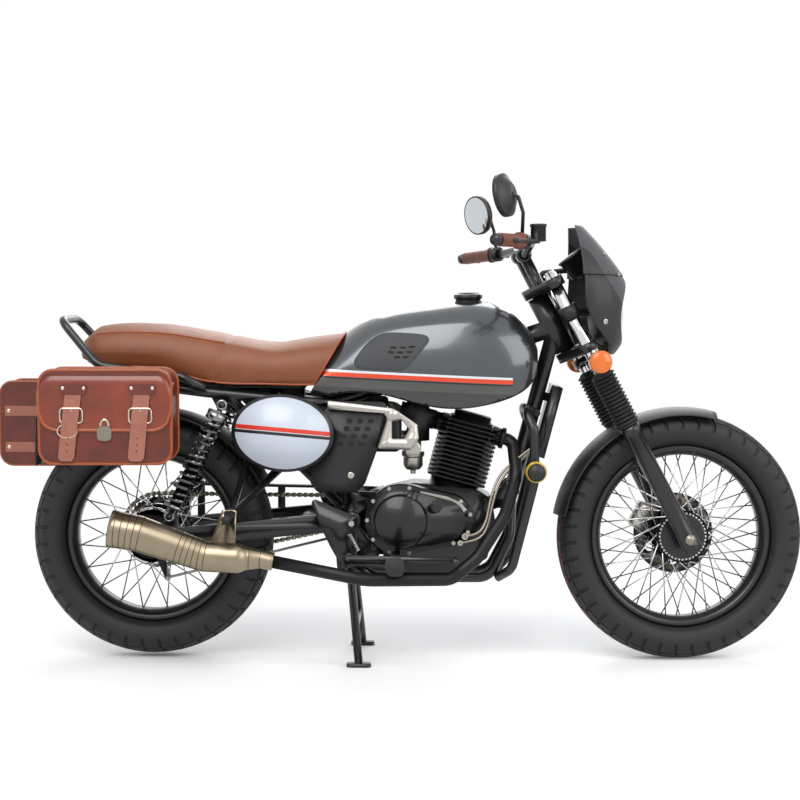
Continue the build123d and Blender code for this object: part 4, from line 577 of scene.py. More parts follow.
# X, Z and half width at the bottom, at the widest place and at the shoulder, and Z of the top
SEAT_ROWS = [
    (-0.806, 0.8, 0.062, 0.82, 0.074, 0.838, 0.058, 0.85),
    (-0.762, 0.784, 0.096, 0.822, 0.108, 0.864, 0.084, 0.884),
    (-0.6, 0.775, 0.112, 0.822, 0.124, 0.868, 0.096, 0.889),
    (-0.464, 0.741, 0.116, 0.8, 0.126, 0.848, 0.098, 0.869),
    (-0.3, 0.735, 0.114, 0.785, 0.124, 0.822, 0.096, 0.842),
    (-0.19, 0.733, 0.11, 0.785, 0.12, 0.83, 0.092, 0.856),
    (-0.11, 0.733, 0.104, 0.785, 0.114, 0.836, 0.084, 0.866),
]
SEAM_FOOT = (-0.196, 0.731)  # X and Z at the lower end of the tank's back edge
SEAM_SLOPE = 0.071 / 0.12
SEAM_GAP = 0.0015
LEAN_FROM = 0.6  # share of the length from which rows lean over to that edge
STEP_AT = (-0.415, 0.86)  # X and Z on the seam behind the rider
STEP_SLOPE = 0.35
STEP_DEEP = 0.0042
STEP_HALF = 0.007
HEM_UP = 0.022
HEM_DEEP = 0.0022
HEM_HALF = 0.0035
SEAT_CORE = 0.79  # Z that the seams are pulled in towards
CORE_LEAST = 0.04
WELT_SPAN = (-0.77, -0.425)  # X
WELT_OUT = 0.0004
CORD_OUT = 0.001
CORD_R = 0.0028  # along the lower edge
FRONT_CORD_R = 0.0026
WELT_R = 0.0014


def smooth_rows(rows, count):
    """More rows between the given ones, along a smooth curve through them."""
    found = []
    for k in range(count + 1):
        x = rows[0][0] + (rows[-1][0] - rows[0][0]) * k / count
        i = max(n for n in range(len(rows) - 1) if rows[n][0] <= x + 1e-9)
        a, b = rows[i], rows[i + 1]
        before, after = rows[max(i - 1, 0)], rows[min(i + 2, len(rows) - 1)]
        t, wide = (x - a[0]) / (b[0] - a[0]), b[0] - a[0]
        row = [x]
        for n in range(1, len(a)):
            m0 = (b[n] - before[n]) / max(b[0] - before[0], 1e-6) * wide
            m1 = (after[n] - a[n]) / max(after[0] - a[0], 1e-6) * wide
            h = 2 * t ** 3 - 3 * t ** 2 + 1, t ** 3 - 2 * t ** 2 + t, 3 * t ** 2 - 2 * t ** 3, t ** 3 - t ** 2
            row.append(h[0] * a[n] + h[1] * m0 + h[2] * b[n] + h[3] * m1)
        found.append(row)
    return found


def seat_skin(x, y, z, bottom, back, share):
    """Where a point of a plain row goes: leaned over at the front and pulled in at the seams."""
    seam = SEAM_FOOT[0] + (z - SEAM_FOOT[1]) * SEAM_SLOPE - SEAM_GAP
    blend = min(1.0, max(0.0, (share - LEAN_FROM) / (1 - LEAN_FROM)))
    place = x + (back + (seam - back) * share - x) * blend
    step = STEP_DEEP * exp(-((x - STEP_AT[0] + (STEP_AT[1] - z) * STEP_SLOPE) / STEP_HALF) ** 2)
    hem = HEM_DEEP * exp(-((z - bottom - HEM_UP) / HEM_HALF) ** 2)
    pull = 1 - (step + hem) / max(CORE_LEAST, hypot(y, z - SEAT_CORE))
    return Vector((place, y * pull, SEAT_CORE + (z - SEAT_CORE) * pull))


def seat():
    """Padded cover with a stepped seam, cords along its edges and a welt on each shoulder."""
    rows = smooth_rows(SEAT_ROWS, 72)
    back, front = rows[0][0], rows[-1][0]
    rings, welt = [], []
    for x, bottom, bottom_half, wide_z, wide, shoulder_z, shoulder, top in rows:
        side = arc((bottom_half, bottom), (wide, wide_z), (shoulder, shoulder_z), 12)
        crown = arc((shoulder, shoulder_z), (0, top), (-shoulder, shoulder_z), 20)
        flat = side + crown[1:-1] + [(-y, z) for y, z in reversed(side)]
        share = (x - back) / (front - back)
        rings.append([seat_skin(x, y, z, bottom, back, share) for y, z in flat])
        if WELT_SPAN[0] < x < WELT_SPAN[1]:
            welt.append((x, shoulder + WELT_OUT, shoulder_z + WELT_OUT))
    made = Heap().grid(rings, close_columns=True, caps=True).made("seat_cover", SEAT, "seat_leather")
    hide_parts("seat")
    edge = Heap()
    starts = [ring[0] for ring in rings[2:]]
    for sign in (1, -1):
        edge.tube([(p.x, sign * (abs(p.y) + CORD_OUT), p.z + CORD_OUT) for p in starts], CORD_R, 8)
    for sign in (1, -1):
        edge.tube([(x, sign * y, z) for x, y, z in welt], WELT_R, 8)
    edge.tube([p - Vector((CORD_OUT, 0, 0)) for p in rings[-1]], FRONT_CORD_R, 8)
    edge.made("seat_piping", PIPING, "seat_leather")


seat()


# Saddlebags

def rounded(wide, tall, corner, steps=8):
    """Flat rounded rectangle as points about its middle."""
    points = []
    for cx, cz, start in [(1, 1, 0), (-1, 1, 90), (-1, -1, 180), (1, -1, 270)]:
        for k in range(steps + 1):
            t = radians(start + 90 * k / steps)
            points.append((cx * (wide / 2 - corner) + corner * cos(t),
                           cz * (tall / 2 - corner) + corner * sin(t)))
    return points


BAG_LONG = 0.331
BAG_TALL = 0.234
BAG_CORNER = 0.036
BAG_OUTLINE = rounded(BAG_LONG, BAG_TALL, BAG_CORNER)
BAG_IN = 0.2  # Y of the inner face
BAG_FACE = 0.33  # Y of the outer face
# Y of each row of the shell, and the share of the outline it has
BAG_SHELL = [(0.201, 0.93), (0.201, 0.985), (0.206, 0.995), (0.24, 0.985), (0.29, 0.985), (0.314, 0.995),
             (0.318, 0.985), (0.319, 0.9), (0.3215, 0.6)]
BAG_CORDS = (0.316, 0.205)  # Y of the piping round the bag
BAG_CORD = [(dx * 0.992, dz * 0.992) for dx, dz in BAG_OUTLINE]
BAG_CORD_R = 0.004
FLAP_HALF = BAG_LONG / 2 - 0.001
FLAP_LOW = -0.032  # Z from the bag's middle, as below
FLAP_CORNER = 0.048
FLAP_FOLD = 0.034  # radius of the fold at the top
FOLD_SHARE = 0.3  # of the flap's rows
FLAP_FACE = BAG_FACE - 0.0045
FLAP_HOLLOW = 0.003
FLAP_THICK = 0.004
FLAP_CORD_R = 0.0042
FLAP_COLUMNS = 32
FLAP_ROWS = 14
STRAPS = [(-0.076, -0.012), (0.094, -0.01)]  # X of the anchor from the bag's middle, lean to the tail
STRAP_SKIN = BAG_FACE - 0.0035
STRAP_TOP = 0.062
STRAP_RUN = 0.1  # the length that the lean is given for
STRAP_HALF = 0.02
STRAP_ROWS = [(STRAP_TOP, 0.001), (0.022, 0.002), (0.004, 0.0055), (-0.03, 0.0035), (-0.07, 0.0025),
              (-0.1, 0.002), (-0.109, 0.002)]  # Z, lift off the flap
STRAP_TIP = -0.105  # below it the strap narrows
STRAP_SECTION = [(-1, -0.002), (1, -0.002), (1, 0.0), (-1, 0.0)]
STRAP_PLATE = [(-0.035, 0.068), (-0.03, 0.082), (0.03, 0.082), (0.035, 0.068), (0.028, 0.056),
               (-0.028, 0.056)]
PLATE_THICK = 0.0025
STRAP_HOLES = (-0.036, -0.052, -0.068, -0.084)
# Profile of the dark disc in each strap hole: painted shade standing in for the hole's depth
HOLE = [(0.0019, 0), (0.0017, 0.0014)]
RIVET_Z = 0.072
RIVET = [(0.0055, 0), (0.0055, 0.0015), (0.003, 0.0034)]
BUCKLE_Y = BAG_FACE - 0.0022
BUCKLE_Z = 0.004
BUCKLE = rounded(0.056, 0.036, 0.008, 3)
BACK_STRAPS = (0.035, -0.066)
BACK_STRAP_ENDS = (-0.15, -0.12, 0.12, 0.15)
BACK_SECTION = [(-0.014, -0.001), (0.014, -0.001), (0.014, 0.002), (-0.014, 0.002)]
BACK_RIVET = [(0.005, 0), (0.005, 0.001), (0.003, 0.002)]


def bag_flap(name, at, out):
    """Flap folded over the top edge, with piping round it and round the bag."""
    edge = []
    for k in range(FLAP_COLUMNS + 1):
        dx = -FLAP_HALF + 2 * FLAP_HALF * k / FLAP_COLUMNS
        inset = max(0.0, FLAP_CORNER - min(dx + FLAP_HALF, FLAP_HALF - dx))
        edge.append((dx, FLAP_LOW + FLAP_CORNER - sqrt(max(0.0, FLAP_CORNER ** 2 - inset ** 2))))
    rows = []
    for level in range(FLAP_ROWS + 1):
        t = level / FLAP_ROWS
        row = []
        for dx, low in edge:
            over = max(0.0, abs(dx) - FLAP_HALF + BAG_CORNER)
            corner = BAG_CORNER - sqrt(max(0.0, BAG_CORNER ** 2 - over ** 2))
            high = BAG_TALL / 2 - FLAP_FOLD - corner
            if t < FOLD_SHARE:
                turn = t / FOLD_SHARE * pi / 2
                dz, sunk = high + FLAP_FOLD * cos(turn), FLAP_FOLD * (1 - sin(turn))
            else:
                share = (t - FOLD_SHARE) / (1 - FOLD_SHARE)
                dz, sunk = high + (low - high) * share, FLAP_HOLLOW * sin(pi * share)
            row.append(at(dx, dz, FLAP_FACE - sunk))
        rows.append(row)
    flap, trim = Heap(), Heap()
    flap.grid(rows)
    flap.grid([[p - out * FLAP_THICK for p in row] for row in rows])
    # the flap wears the lighter copy of the leather, with painted light
    flap.made(name + "_flap", LIT_FLAP, "bag_leather")
    rim = [row[0] for row in rows] + rows[-1][1:-1] + [row[-1] for row in reversed(rows)]
    trim.tube([p - out * (FLAP_THICK / 2) for p in rim], FLAP_CORD_R, 8)
    for depth in BAG_CORDS:
        trim.tube([at(dx, dz, depth) for dx, dz in BAG_CORD], BAG_CORD_R, 8, True)
    trim.made(name + "_piping", PIPING, "bag_leather")


def bag_lock(name, at, out, metal):
    """Hanging ring, and a lock with its loop."""
    ring = [at(-0.092 + 0.024 * cos(t), -0.034 + 0.017 * sin(t), BUCKLE_Y) for t in round_steps(24)]
    metal.tube(ring, 0.0021, 8, True)
    lock = [at(dx, dz - 0.04, BAG_FACE - 0.012) for dx, dz in rounded(0.036, 0.036, 0.012, 4)]
    Heap().prism(lock, out * 0.0115).made(name + "_lock", STEEL, "chain_steel")
    turns = [pi * k / 12 for k in range(13)]
    loop = [at(0.01 * cos(t), -0.022 + 0.016 * sin(t), BAG_FACE - 0.006) for t in turns]
    metal.tube(loop, 0.0028, 8)


def bag_straps(name, at, out, locked):
    """Buckled straps on the flap with plates, rivets and holes, and two plain straps on the inner face."""
    straps, plates, holes, metal = Heap(), Heap(), Heap(), Heap()
    for anchor, lean in STRAPS:
        plates.prism([at(anchor + dx, dz, STRAP_SKIN) for dx, dz in STRAP_PLATE], out * PLATE_THICK)
        rows = []
        for dz, lift in STRAP_ROWS:
            middle = anchor + lean * (STRAP_TOP - dz) / STRAP_RUN
            half = STRAP_HALF * (0.65 if dz < STRAP_TIP else 1.0)
            rows.append([at(middle + s * half, dz, min(BAG_FACE, STRAP_SKIN + lift + t))
                         for s, t in STRAP_SECTION])
        straps.grid(rows, close_columns=True, caps=True)
        # each hole is a disc of painted shade on the strap
        for dz in STRAP_HOLES:
            holes.ring(at(anchor + lean * (STRAP_TOP - dz) / STRAP_RUN, dz, BAG_FACE - 0.0016), out, HOLE, 10)
        for dx in (-0.026, 0.026):
            metal.ring(at(anchor + dx, RIVET_Z, STRAP_SKIN), out, RIVET, 12)
        centre = anchor + lean * 0.5
        metal.tube([at(centre + dx, BUCKLE_Z + dz, BUCKLE_Y) for dx, dz in BUCKLE], 0.0022, 8, True)
        metal.tube([at(centre, BUCKLE_Z + dz, BUCKLE_Y) for dz in (-0.018, 0.018)], 0.0016, 6)
    if locked:
        bag_lock(name, at, out, metal)
    for z in BACK_STRAPS:
        rows = [[at(dx, z + dz, BAG_IN + lift) for dz, lift in BACK_SECTION] for dx in BACK_STRAP_ENDS]
        straps.grid(rows, close_columns=True, caps=True)
        for dx in (-0.14, 0.14):
            metal.ring(at(dx, z, BAG_IN), -out, BACK_RIVET, 12)
    plates.made(name + "_strap_plates", STRAP_DARK, "bag_leather")
    holes.made(name + "_strap_hole_shade", HOLE_SHADE, "bag_leather")
    straps.made(name + "_straps", STRAP, "bag_leather")
    metal.made(name + "_buckles", BRASS, "chrome")


def bag(name, node, place, side):
    """Leather bag: bulged box, flap and straps; the lock only on the right one."""
    out = Vector((0, side, 0))

    def at(dx, dz, depth):
        return Vector((place[0] + dx, side * depth, place[1] + dz))

    rows = [[at(dx * share, dz * share, depth) for dx, dz in BAG_OUTLINE] for depth, share in BAG_SHELL]
    made = Heap().grid(rows, close_columns=True, caps=True).made(name, BAG, "bag_leather")
    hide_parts(node)
    bag_flap(name, at, out)
    bag_straps(name, at, out, side < 0)


bag("bag_right", "saddlebag_right", (-0.7, 0.665), -1)
bag("bag_left", "saddlebag_left", (-0.93, 0.607), 1)


# Knee pads laid on the tank's sides

PAD_EDGE = [(-0.092, 0.787), (-0.09, 0.801), (-0.054, 0.847), (-0.021, 0.866), (0.01, 0.869), (0.088, 0.865),
            (0.103, 0.855), (0.101, 0.843), (0.041, 0.774), (0.026, 0.771), (-0.083, 0.775)]
PAD_ROWS = [(1.0, -0.0005), (1.0, 0.0022), (0.975, 0.0034)]  # share of the outline, lift off the tank
PAD_ROWS += [(share, 0.0036) for share in (0.9, 0.75, 0.55, 0.35, 0.15, 0.02)]
# The vents are flat near-black slabs: painted shade in the pads' openings
PAD_VENTS = [(0.01, 0.83), (0.034, 0.83), (0.058, 0.832), (0.004, 0.818), (0.028, 0.818), (0.052, 0.819),
             (0.02, 0.806), (0.042, 0.806)]  # X, Z
VENT = rounded(0.016, 0.005, 0.0024, 3)
VENT_LIFT = 0.0034
VENT_TALL = 0.0009


def knee_pads():
    skin = skin_of("fuel_tank")
    edge = cut_corners(PAD_EDGE, closed=True)
    cx = sum(p[0] for p in edge) / len(edge)
    cz = sum(p[1] for p in edge) / len(edge)
    heap, vents = Heap(), Heap()

    def on_tank(px, pz, side, lift):
        spot, normal = skin.ray_cast(Vector((px, side * 0.4, pz)), Vector((0, -side, 0)))[:2]
        return spot + normal * lift if normal.y * side > 0 else spot - normal * lift

    for side in (-1, 1):
        rows = []
        for share, lift in PAD_ROWS:
            rows.append([on_tank(cx + (px - cx) * share, cz + (pz - cz) * share, side, lift)
                         for px, pz in edge])
        heap.grid(rows, close_columns=True)
        for px, pz in PAD_VENTS:
            # each vent is a slab of painted shade
            mouth = [on_tank(px + dx, pz + dz, side, VENT_LIFT) for dx, dz in VENT]
            vents.prism(mouth, (0, side * VENT_TALL, 0))
    heap.made("knee_pads", PAD, "black_plastic")
    vents.made("knee_pad_vent_shade", HOLE_SHADE, "black_plastic")


knee_pads()


# Lamps, welds and mirrors

LAMP_AT = (0.594, 0, 0.918)  # with the steering straight ahead
LAMP_DOME = [(0.0805, 0.0), (0.079, 0.0025), (0.07, 0.008), (0.055, 0.0135), (0.035, 0.018), (0.015, 0.0206),
             (0.001, 0.0212)]  # radius, distance ahead
LAMP_RIM = [(0.0805, -0.004), (0.0865, -0.004), (0.087, 0.002), (0.0845, 0.005), (0.08, 0.0035)]
TAIL_OUTLINE = rounded(0.09, 0.052, 0.012, 4)
TAIL_ROWS = [(-0.9085, 0.92), (-0.9105, 0.9), (-0.9115, 0.6)]  # X, share of the outline
TAIL_Z = 0.655


def lamp_lenses():
    place = steered(LAMP_AT)
    ahead = steered((1, 0, 0)) - steered((0, 0, 0))
    Heap().ring(place, ahead, LAMP_DOME, 48).made("headlamp_lens", LENS, "lamp_glass", "steering")
    Heap().ring(place, ahead, LAMP_RIM, 48).made("headlamp_rim", CHROME, "chrome", "steering")
    rows = [[(x, y * share, TAIL_Z + z * share) for y, z in TAIL_OUTLINE] for x, share in TAIL_ROWS]
    Heap().grid(rows, close_columns=True, caps=True).made("tail_lens", RED, "red_lens")


lamp_lenses()


MUFFLER_Y = -0.198
MUFFLER = [(-0.713, 0.37, 0.048), (-0.64, 0.357, 0.046), (-0.472, 0.299, 0.0395), (-0.392, 0.294, 0.0385),
           (-0.362, 0.293, 0.029), (-0.33, 0.2918, 0.0235), (-0.296, 0.285, 0.023)]   # X, Z, radius
MUFFLER_BEND = 0.04  # the axis is taken over this far to each side
WELD_GROUPS = [(-0.698, -0.634, 5), (-0.538, -0.47, 6), (-0.389, -0.389, 1), (-0.357, -0.329, 2)]  # X, count
WELD_RING = [(-0.002, -0.0014), (0.0007, -0.001), (0.0007, 0.001), (-0.002, 0.0014)]  # off the skin, along


def on_muffler(x):
    """Axis height and radius of the can at an X."""
    for (x0, z0, r0), (x1, z1, r1) in zip(MUFFLER, MUFFLER[1:]):
        if x <= x1:
            break
    share = (x - x0) / (x1 - x0)
    return z0 + (z1 - z0) * share, r0 + (r1 - r0) * share


def muffler_welds():
    heap = Heap()
    for start, stop, count in WELD_GROUPS:
        for k in range(count):
            x = start + (stop - start) * k / max(1, count - 1)
            z, r = on_muffler(x)
            low = on_muffler(max(MUFFLER[0][0], x - MUFFLER_BEND))[0]
            high = on_muffler(min(MUFFLER[-1][0], x + MUFFLER_BEND))[0]
            axis = Vector((2 * MUFFLER_BEND, 0, high - low)).normalized()
            heap.ring((x, MUFFLER_Y, z), axis, [(r + rise, along) for rise, along in WELD_RING], 48)
    heap.made("muffler_welds", WELD, "bronze_steel")


muffler_welds()


MIRROR_TURN = radians(32)  # of the glass towards the rider
MIRROR_TILT = radians(9)
MIRROR_GLASS = [(0.05, -0.001), (0.05, 0.0006), (0.0492, 0.001)]
MIRROR_FLAT = 0.0004  # points this near the foremost one lie on the shell's face


def mirror_glasses():
    """Discs on the flat faces of the mirror shells."""
    heap = Heap()
    points = [v.co for v in NODES["mirrors"].data.vertices]
    for side in (-1, 1):
        sideways = -side * sin(MIRROR_TURN)
        facing = Vector((-cos(MIRROR_TURN), sideways, -sin(MIRROR_TILT))).normalized()
        facing = Quaternion(STEER_AXIS, REST_STEER) @ facing
        mine = [p for p in points if p.y * side > 0]
        front = max(p.dot(facing) for p in mine)
        rim = [p for p in mine if p.dot(facing) > front - MIRROR_FLAT]
        heap.ring(sum(rim, Vector()) / len(rim), facing, MIRROR_GLASS, 48)
    heap.made("mirror_glasses", GLASS, "chrome", "steering")


mirror_glasses()


# Bolts, rings, hub cover and gaiters

RIGHT_COVER_Y = -0.1335
DIMPLE_Y = 0.1278
HANGER_Y = 0.1338
# X and Z of the middle, radius of the bolts' circle, Y, angles
BOLT_CIRCLES = [((0.029, 0.384), 0.087, RIGHT_COVER_Y, (75, 110, 145, 180, 215, 250, 285)),
                ((0.15, 0.384), 0.061, RIGHT_COVER_Y, (-75, -30, 15, 55)),
                ((0.14, 0.372), 0.071, 0.1275, [360 * k / 7 for k in range(7)])]
COVER_BOLT = (0.0058, 0.006)  # radius and height of the head
HANGER_BOLT = (0.0085, 0.006)
PANEL_HEAD = (0.0085, 0.005)
FITTING_TALL = 0.01
COWL_BOLT_TALL = 0.004
HANGER_BOLTS = [(-0.0987, 0.375), (-0.106, 0.29)]  # X, Z
COVER_FITTINGS = [(0.124, 0.334, 0.0095), (0.195, 0.343, 0.0095), (0.183, 0.326, 0.008)]  # X, Z, radius
# The dimples are flat near-black slabs: painted shade in the panels' hollows
DIMPLE = rounded(0.015, 0.012, 0.005, 3)
DIMPLE_ROWS = [(-0.103, 0.641), (-0.111, 0.621), (-0.119, 0.601), (-0.127, 0.581)]  # X of the first, Z
DIMPLE_PITCH = 0.0275
DIMPLE_TALL = 0.0006
PANEL_BOLT = (-0.1, 0.1275, 0.5)
SLIDER_AT = (0.376, 0.1748, 0.514)
SLIDER_RING = [(0.026, -0.0005), (0.0276, -0.0005), (0.0276, 0.001), (0.0256, 0.0085), (0.024, 0.0155),
               (0.0225, 0.0155)]
COWL_BOLTS = [(0.558, 1.072, 0.005), (0.594, 1.018, 0.005), (0.5555, 0.8976, 0.007)]  # X, Z, head radius
HUB_COVER = [(0.018, 0.0461), (0.018, 0.048), (0.057, 0.048), (0.0655, 0.0472), (0.066, 0.0461)]
HUB_HEADS = 40
HUB_HEADS_R = 0.0612
HUB_HEADS_OUT = 0.0472
HUB_HEAD = [(0.003, -0.0005), (0.003, 0.0008), (0.0018, 0.002), (0.0004, 0.0023)]
GAITER_FROM = 0.335
GAITER_LONG = 0.155
GAITER_RIBS = 14
GAITER_END = 0.005
GAITER_FOOT = [(0.017, 0), (0.0285, 0), (0.0285, 0.004)]
GAITER_HEAD = [(0.0262, -GAITER_END), (0.0215, 0), (0.017, 0)]  # radius, rise from the top
GAITER_RIB = [(0.0262, 0), (0.0312, 0.28), (0.0328, 0.5), (0.0312, 0.72)]  # radius, share of the pitch


def bolts():
    bright, dark, yellow = Heap(), Heap(), Heap()
    for (x, z), radius, y, angles in BOLT_CIRCLES:
        for angle in angles:
            t = radians(angle)
            place = (x + radius * cos(t), y, z + radius * sin(t))
            bright.bolt(place, (0, copysign(1, y), 0), *COVER_BOLT)
    for x, z in HANGER_BOLTS:
        for side in (-1, 1):
            bright.bolt((x, side * HANGER_Y, z), (0, side, 0), *HANGER_BOLT, sides=6)
    for x, z, r in COVER_FITTINGS:
        bright.bolt((x, RIGHT_COVER_Y, z), (0, -1, 0), r, FITTING_TALL)
    for side in (-1, 1):
        bright.bolt(mirrored(PANEL_BOLT, side), (0, side, 0), *PANEL_HEAD)
        # each dimple is a slab of painted shade
        for x, z in DIMPLE_ROWS:
            for k in range(3):
                hole = [(x + DIMPLE_PITCH * k + dx, side * DIMPLE_Y, z + dz) for dx, dz in DIMPLE]
                dark.prism(hole, (0, side * DIMPLE_TALL, 0))
    bright.made("cover_bolts", ALLOY, "bright_alloy")
    dark.made("panel_dimple_shade", HOLE_SHADE, "black_plastic")
    for side in (-1, 1):
        yellow.ring(mirrored(SLIDER_AT, side), (0, side, 0), SLIDER_RING, 32, hollow=True)
    yellow.made("slider_rings", YELLOW, "bright_alloy")


def cowl_bolts():
    """Screws that hold the visor and the cowl, each seated on the skin it is driven into."""
    heap = Heap()
    skins = [skin_of(name) for name in ("cowl", "screen")]
    turn = Quaternion(STEER_AXIS, REST_STEER)
    back = turn.inverted()
    for x, z, r in COWL_BOLTS:
        hits = [skin.ray_cast(Vector((x, -0.5, z)), Vector((0, 1, 0))) for skin in skins]
        hits = [hit for hit in hits if hit[0] is not None]
        spot, normal = min(hits, key=lambda hit: hit[0].y)[:2]
        normal = normal if normal.y < 0 else -normal
        heap.bolt(spot, normal, r, COWL_BOLT_TALL)
        plain = back @ (spot - STEER_FOOT) + STEER_FOOT
        facing = turn @ mirrored(back @ normal, -1)
        heap.bolt(steered(mirrored(plain, -1)), facing, r, COWL_BOLT_TALL)
    heap.made("visor_bolts", ALLOY, "bright_alloy", "steering")


def hub_cover():
    """Black cover on the front hub's right flange, with the bright heads of the spokes round its edge."""
    cover, heads = Heap(), Heap()
    out = -FRONT_LINE
    cover.ring(FRONT_AXLE, out, HUB_COVER, 64, hollow=True)
    for ray in spokes(out, HUB_HEADS):
        heads.ring(FRONT_AXLE + out * HUB_HEADS_OUT + ray * HUB_HEADS_R, out, HUB_HEAD, 10)
    cover.made("front_hub_cover", BLACK, "black_metal", "front_wheel")
    heads.made("front_spoke_heads", ALLOY, "bright_alloy", "front_wheel")


def gaiters():
    """Finely ribbed rubber over the stanchions."""
    heap = Heap()
    pitch = (GAITER_LONG - 2 * GAITER_END) / GAITER_RIBS
    profile = list(GAITER_FOOT)
    for k in range(GAITER_RIBS):
        base = GAITER_END + k * pitch
        profile += [(r, base + pitch * share) for r, share in GAITER_RIB]
    profile += [(r, GAITER_LONG + rise) for r, rise in GAITER_HEAD]
    for side in (-1, 1):
        heap.ring(fork_point(FORK_AHEAD, side * FORK_HALF, GAITER_FROM), STEER_AXIS, profile, 40, hollow=True)
    made = heap.made("fork_gaiters", RUBBER, "rubber", "steering")
    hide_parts("fork_bellows")


bolts()
cowl_bolts()
hub_cover()
gaiters()


# Engine fittings and pegs

# X, Y, Z along each oil line on the right
OIL_LINES = [
    [(0.195, -0.14, 0.343), (0.233, -0.134, 0.35), (0.251, -0.122, 0.38), (0.259, -0.112, 0.425),
     (0.272, -0.1, 0.468), (0.292, -0.086, 0.505), (0.345, -0.074, 0.548), (0.378, -0.07, 0.572)],
    [(0.183, -0.14, 0.326), (0.233, -0.134, 0.334), (0.255, -0.122, 0.365), (0.267, -0.112, 0.425),
     (0.281, -0.1, 0.468), (0.3, -0.086, 0.5), (0.35, -0.06, 0.54), (0.382, -0.055, 0.566)]]
OIL_LINE_R = 0.0034
# X and Z round the strip along the cover's top edge
COVER_STRIP = [(0.08, 0.46), (0.15, 0.446), (0.185, 0.43), (0.2, 0.412), (0.192, 0.406), (0.178, 0.42),
               (0.148, 0.434), (0.08, 0.448)]
STRIP_Y = -0.1338
STRIP_TALL = 0.0045
FILLER_AT = (0.121, -0.1495, 0.421)
FILLER_CAP = [(0.015, 0), (0.015, 0.007), (0.012, 0.01), (0.004, 0.0102)]
CARB_TOP = (0.06, -0.012, 0.586)
CARB_SIDE = (0.06, -0.03, 0.56)
CARB_BOWL = [(0.02, 0), (0.022, 0.004), (0.022, 0.03), (0.03, 0.034), (0.03, 0.046), (0.026, 0.05),
             (0.026, 0.072), (0.019, 0.082), (0.007, 0.085), (0.007, 0.094)]  # radius and drop below the body
CARB_CAP = [(0.006, 0), (0.021, 0.004), (0.021, 0.01), (0.017, 0.012), (0.006, 0.014)]
CARB_BOLTS_R = 0.0255
CARB_BOLTS_DROP = 0.046
CARB_BOLT = (0.0032, 0.004)
PEDAL_SPRING = [(-0.103, -0.14, 0.348), (-0.08, -0.14, 0.306)]
PEDAL_COIL = (0.0052, 12, 10)
PEDAL_WIRE = 0.0011
PEG_FROM = (0.016, 0.2, 0.2685)
PEG_TO = (0.016, 0.297, 0.2922)
PEG_SECTION = rounded(0.048, 0.042, 0.015, 4)
PEG_RIBS = 9
PEG_VALLEY = 0.9  # share of the section between the ribs
PEG_END = 0.8


def engine_fittings():
    lines = Heap()
    for points in OIL_LINES:
        lines.tube(cut_corners(points), OIL_LINE_R, 10)
    lines.made("oil_lines", STEEL, "chain_steel")
    strip = Heap().prism([(x, STRIP_Y, z) for x, z in COVER_STRIP], (0, -STRIP_TALL, 0))
    strip.made("cover_strip", ALLOY, "bright_alloy", smooth=False)
    Heap().ring(FILLER_AT, (0, -1, 0), FILLER_CAP, 24).made("oil_filler_cap", PLASTIC, "black_plastic")
    bowl = Heap()
    bowl.ring(CARB_TOP, (0, 0, -1), CARB_BOWL, 32)
    bowl.ring(CARB_SIDE, (0, -1, 0), CARB_CAP, 24)
    for turn in (45, 135, 225, 315):
        t = radians(turn)
        place = Vector((CARB_BOLTS_R * cos(t), CARB_BOLTS_R * sin(t), -CARB_BOLTS_DROP))
        bowl.bolt(Vector(CARB_TOP) + place, (0, 0, -1), *CARB_BOLT)
    bowl.made("carburettor_bowl", ALLOY, "bright_alloy")
    top, low = (Vector(p) for p in PEDAL_SPRING)
    Heap().tube(helix(top, low, *PEDAL_COIL), PEDAL_WIRE, 6).made("pedal_spring", ALLOY, "bright_alloy")


def peg_rubbers():
    """Ribbed rubber blocks over the ends of the rider's pegs."""
    heap = Heap()
    last = PEG_RIBS * 4
    for side in (-1, 1):
        start, stop = mirrored(PEG_FROM, side), mirrored(PEG_TO, side)
        ahead = Vector((1, 0, 0))
        up = ahead.cross((stop - start).normalized()).normalized()
        rows = []
        for k in range(last + 1):
            share = PEG_VALLEY if k % 4 in (0, 1) else 1.0
            share *= PEG_END if k in (0, last) else 1.0
            middle = start.lerp(stop, k / last)
            rows.append([middle + ahead * dx * share + up * dz * share for dx, dz in PEG_SECTION])
        heap.grid(rows, close_columns=True, caps=True)
    heap.made("peg_rubbers", RUBBER, "rubber")


engine_fittings()
peg_rubbers()


# Camera, light and floor

CAMERA_AT = (0.098, -4.4, 0.983)
CAMERA_YAW = radians(0.95)
CAMERA_PITCH = radians(3.85)
CAMERA_LENS = 74.7
# Name, place, size and power
LAMPS = [("key", (-1.2, -3.2, 4.2), 3.5, 180), ("fill", (3.4, -2.0, 2.4), 3.0, 70),
         ("back", (0.5, 3.6, 3.4), 3.5, 125)]
LAMPS_AIM = Vector((0, 0, 0.6))
SKY_STRENGTH = 0.65
# Share of the way from straight below to straight above, and the colour there
SKY = [(0.3, (0.35, 0.35, 0.34, 1)), (0.75, (0.95, 0.97, 1.0, 1))]
FLOOR_HALF = 30
WHITE_FROM = 0.6  # distance from the middle
WHITE_TO = 1.9


def aim(made, place, forward):
    """Puts a camera or lamp in place, looking forward."""
    made.location = place
    made.rotation_mode = "QUATERNION"
    made.rotation_quaternion = Vector(forward).to_track_quat("-Z", "Y")


def camera():
    made = placed("camera", bpy.data.cameras.new("camera"))
    made.data.sensor_width = 36.0
    made.data.lens = CAMERA_LENS
    made.data.clip_end = 60
    level = cos(CAMERA_PITCH)
    aim(made, CAMERA_AT, (-sin(CAMERA_YAW) * level, cos(CAMERA_YAW) * level, -sin(CAMERA_PITCH)))
    SCENE.camera = made


